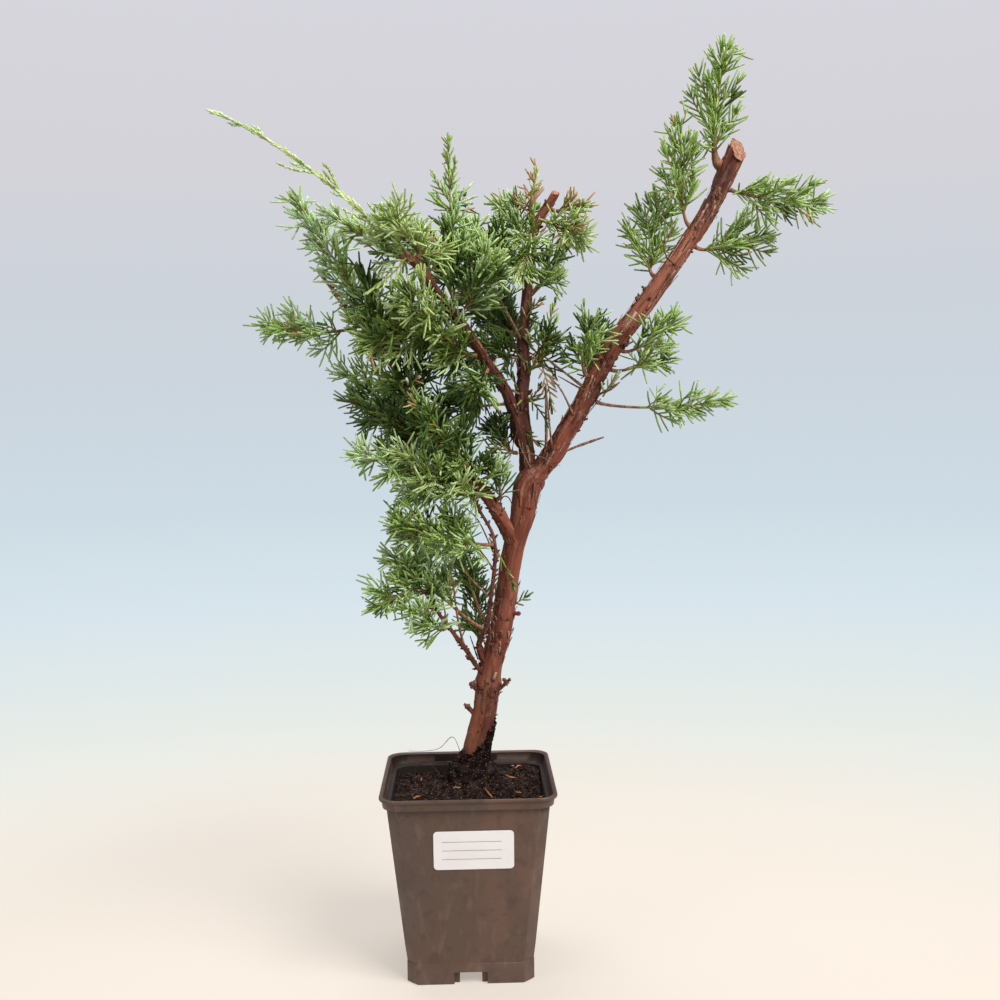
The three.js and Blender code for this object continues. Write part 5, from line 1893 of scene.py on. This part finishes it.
def makeFibres():
    tubes = []
    for k in range(fibreRule["count"]):
        x = (chance(81, k) - 0.5) * fibreRule["reach"]
        y = (chance(82, k) - 0.5) * fibreRule["reach"]
        if k % 3 == 0:
            # near the trunk
            turn = 2 * math.pi * chance(83, k)
            away = 6 + 9 * chance(84, k)
            x, y = foot.x + math.cos(turn) * away, foot.y + math.sin(turn) * away
        if abs(x) + abs(y) > fibreRule["corner"] or max(abs(x), abs(y)) > fibreRule["edge"]:
            continue
        start = (x, y, soilHeight(x, y) + 0.3)
        length = fibreRule["shortest"] + fibreRule["growth"] * chance(85, k)
        heading = 6.28 * chance(86, k)
        radius = fibreRule["radius"] * (1 + chance(87, k))
        standing = k % 11 == 0
        tubes.append(looseFibre(start, heading, length, radius, k, 1.4, not standing))
    for k, path in enumerate(rootHairs):
        tubes.append((pathTube(path, 0.2, 0.1, 1.5, k, 4), 0))
    return joinTubes("soil_fibres", tubes)


def makeCrust():
    # peat and fine roots that cling to the trunk, higher on its right side
    form = bmesh.new()
    limb = limbs["trunk"]
    rows, span = crustRule["rows"], crustRule["span"]
    frames = framesOf(
        lambda t: limbPoint(limb, t * span), lambda t: limbWay(limb, t * span), rows, Vector((1, 0, 0)),
    )
    made = bmesh.ops.create_grid(form, x_segments=crustRule["sides"], y_segments=rows, size=0.5)
    for vert in made["verts"]:
        angle = (vert.co.x + 0.5) * 2 * math.pi
        row = round((vert.co.y + 0.5) * rows)
        at, _, u, v = frames[row]
        out = u * math.cos(angle) + v * math.sin(angle)
        rise = at.z - crustRule["start"]
        side = 0.5 + 0.5 * out.dot(Vector((0.9, -0.3, 0)).normalized())
        top = mix(crustRule["low"], crustRule["high"], side ** 4)
        cone = crustRule["cone"] * math.exp(-((max(rise - 2, 0) / 7) ** 2))
        thick = cone + 1.3 - 3.2 * smooth(0.75, 1.1, rise / top + 0.25 * noise.noise(at + out * 4))
        spot = at + out * limbRadius(limb, row / rows * span)
        rough = noise.fractal(spot * 0.35, 0.8, 2.0, 4)
        ragged = 0.5 * noise.fractal(Vector((spot.x, spot.y, spot.z * 0.4)) * 1.1, 0.8, 2.0, 3)
        clump = min(cone / 3, 1) * (0.9 - 1.6 * min(noise.voronoi(spot * 0.3 + out * 0.8)[0][0], 1))
        vert.co = (spot + out * (thick + (0.6 + 0.16 * cone) * rough + ragged + clump)) * mm
    bmesh.ops.remove_doubles(form, verts=form.verts, dist=1e-6)
    bmesh.ops.holes_fill(form, edges=[e for e in form.edges if e.is_boundary], sides=0)
    bmesh.ops.recalc_face_normals(form, faces=form.faces)
    return meshFromBmesh("soil_crust", form)


# fallen needles seen on the soil: x, y, heading, length, radius
litterSpots = [
    (-29, -12, 1.3, 8, 0.5), (9, 1, -1.3, 15, 0.55), (26, 27, 0.9, 7, 0.4), (20, 16, 0.5, 7, 0.4),
    (37, -14, 1.2, 7, 0.4), (-8, 0, 0.4, 5, 0.35), (-20, -22, 2.5, 6, 0.35), (15, -24, 0.2, 6, 0.4),
    (24, 34, 0.5, 5, 0.35), (-26, 20, 1.8, 6, 0.35), (28, -6, 2.4, 5, 0.35),
]


def makeLitter():
    tubes = []
    for k, (x, y, heading, length, radius) in enumerate(litterSpots):
        start = (x, y, soilHeight(x, y) + 0.8)
        tubes.append(looseFibre(start, heading, length, radius, 900 + k, 0.35))
    return joinTubes("dead_needles", tubes)


addPiece("soil_bed", makeSoil(), [peat], "soil", "soil")
addPiece("soil_crust", makeCrust(), [peat], "soil")
addPiece("soil_crumbs", makeCrumbs(), [peat], "soil")
addPiece("soil_fibres", makeFibres(), [fibre], "soil")
addPiece("dead_needles", makeLitter(), [litter], "soil")
print("soil made")


# floor, light and camera

def makeFloor():
    form = bmesh.new()
    bmesh.ops.create_circle(form, cap_ends=True, segments=96, radius=6)
    mesh = meshFromBmesh("floor", form, False)
    floor = addObject("floor", mesh)
    # lit from within, and clear toward its edge, so that it runs into the backdrop
    surface = Finish("floor_pale", (0.42, 0.385, 0.34), 0.8, 0.1)
    surface.done({"Emission Color": (0.93, 0.845, 0.76, 1), "Emission Strength": 0.46})
    spot = surface.node("ShaderNodeTexCoord", {})["Object"]
    away = surface.node("ShaderNodeVectorMath", {0: spot}, operation="LENGTH")["Value"]
    fade = surface.node(
        "ShaderNodeMapRange", {"Value": away, "From Min": 0.09, "From Max": 0.5},
        interpolation_type="SMOOTHSTEP",
    )["Result"]
    bare = surface.node("ShaderNodeBsdfTransparent", {})["BSDF"]
    solid = surface.shader.outputs["BSDF"]
    blend = surface.node("ShaderNodeMixShader", {"Fac": fade, 1: solid, 2: bare})["Shader"]
    surface.fill(surface.tree.nodes["Material Output"], {"Surface": blend})
    mesh.materials.append(surface.material)


def makeSky():
    # backdrop tones by height: cream below, pale blue ahead, lavender grey above
    world = bpy.data.worlds.new("studio")
    bpy.context.scene.world = world
    world.use_nodes = True
    tree = world.node_tree
    spot = tree.nodes.new("ShaderNodeTexCoord")
    split = tree.nodes.new("ShaderNodeSeparateXYZ")
    lowest, highest = -0.45, 0.35
    span = tree.nodes.new("ShaderNodeMapRange")
    span.inputs["From Min"].default_value = lowest
    span.inputs["From Max"].default_value = highest
    ramp = tree.nodes.new("ShaderNodeValToRGB")
    tones = [
        (-0.42, (0.97, 0.86, 0.745)), (-0.3, (0.905, 0.871, 0.799)), (-0.225, (0.783, 0.831, 0.807)),
        (-0.148, (0.686, 0.783, 0.839)), (-0.068, (0.61, 0.708, 0.776)), (0.013, (0.604, 0.672, 0.737)),
        (0.094, (0.61, 0.651, 0.708)), (0.2, (0.665, 0.651, 0.7)), (0.32, (0.675, 0.67, 0.725)),
    ]
    marks = [((height - lowest) / (highest - lowest), color) for height, color in tones]
    elements = ramp.color_ramp.elements
    elements[0].position, elements[0].color = marks[0][0], (*marks[0][1], 1)
    elements[1].position, elements[1].color = marks[-1][0], (*marks[-1][1], 1)
    for place, color in marks[1:-1]:
        elements.new(place).color = (*color, 1)
    # the light that falls from it is weaker than what is seen of it
    seen = tree.nodes.new("ShaderNodeLightPath")
    strength = tree.nodes.new("ShaderNodeMapRange")
    strength.inputs["To Min"].default_value = 0.36
    strength.inputs["To Max"].default_value = 1
    link = tree.links.new
    link(seen.outputs["Is Camera Ray"], strength.inputs["Value"])
    link(strength.outputs["Result"], tree.nodes["Background"].inputs["Strength"])
    link(spot.outputs["Generated"], split.inputs[0])
    link(split.outputs["Z"], span.inputs["Value"])
    link(span.outputs["Result"], ramp.inputs["Fac"])
    link(ramp.outputs["Color"], tree.nodes["Background"].inputs["Color"])


# square lamps: place and size in metres, height they look at, power and colour
lamps = {
    "key": {"spot": (0.7, -0.7, 1.12), "at": 0.28, "size": 0.75, "power": 20.5, "color": (1, 0.98, 0.94)},
    "fill": {"spot": (-0.95, -0.6, 0.6), "at": 0.25, "size": 0.8, "power": 3.5, "color": (1, 0.97, 0.94)},
    "top": {"spot": (-0.1, 0.35, 1.3), "at": 0.2, "size": 0.7, "power": 8, "color": (0.97, 0.98, 1)},
}


def addLight(name, setting):
    light = bpy.data.lights.new(name, "AREA")
    light.size = setting["size"]
    light.energy = setting["power"]
    light.color = setting["color"]
    lamp = addObject(name, light)
    lamp.location = setting["spot"]
    way = Vector((0, 0, setting["at"])) - Vector(setting["spot"])
    lamp.rotation_euler = way.to_track_quat("-Z", "Y").to_euler()


cameraSetting = {
    "spot": (0.002274, -0.643277, 0.29),
    "down": 3.93, "turn": -1.49, "roll": -0.79,  # degrees
    "lens": 44.24,
}


def makeCamera():
    data = bpy.data.cameras.new("camera")
    data.lens = cameraSetting["lens"]
    data.sensor_width = 36
    data.clip_start = 0.01
    data.clip_end = 50
    camera = addObject("camera", data)
    turn = Matrix.Rotation(math.radians(cameraSetting["turn"]), 4, "Z")
    tilt = Matrix.Rotation(math.radians(90 - cameraSetting["down"]), 4, "X")
    rolled = Matrix.Rotation(math.radians(cameraSetting["roll"]), 4, "Z")
    camera.matrix_world = Matrix.Translation(cameraSetting["spot"]) @ turn @ tilt @ rolled
    bpy.context.scene.camera = camera


makeFloor()
makeSky()
for name, setting in lamps.items():
    addLight(name, setting)
makeCamera()
bpy.context.scene.view_settings.view_transform = "Standard"
print("studio made")
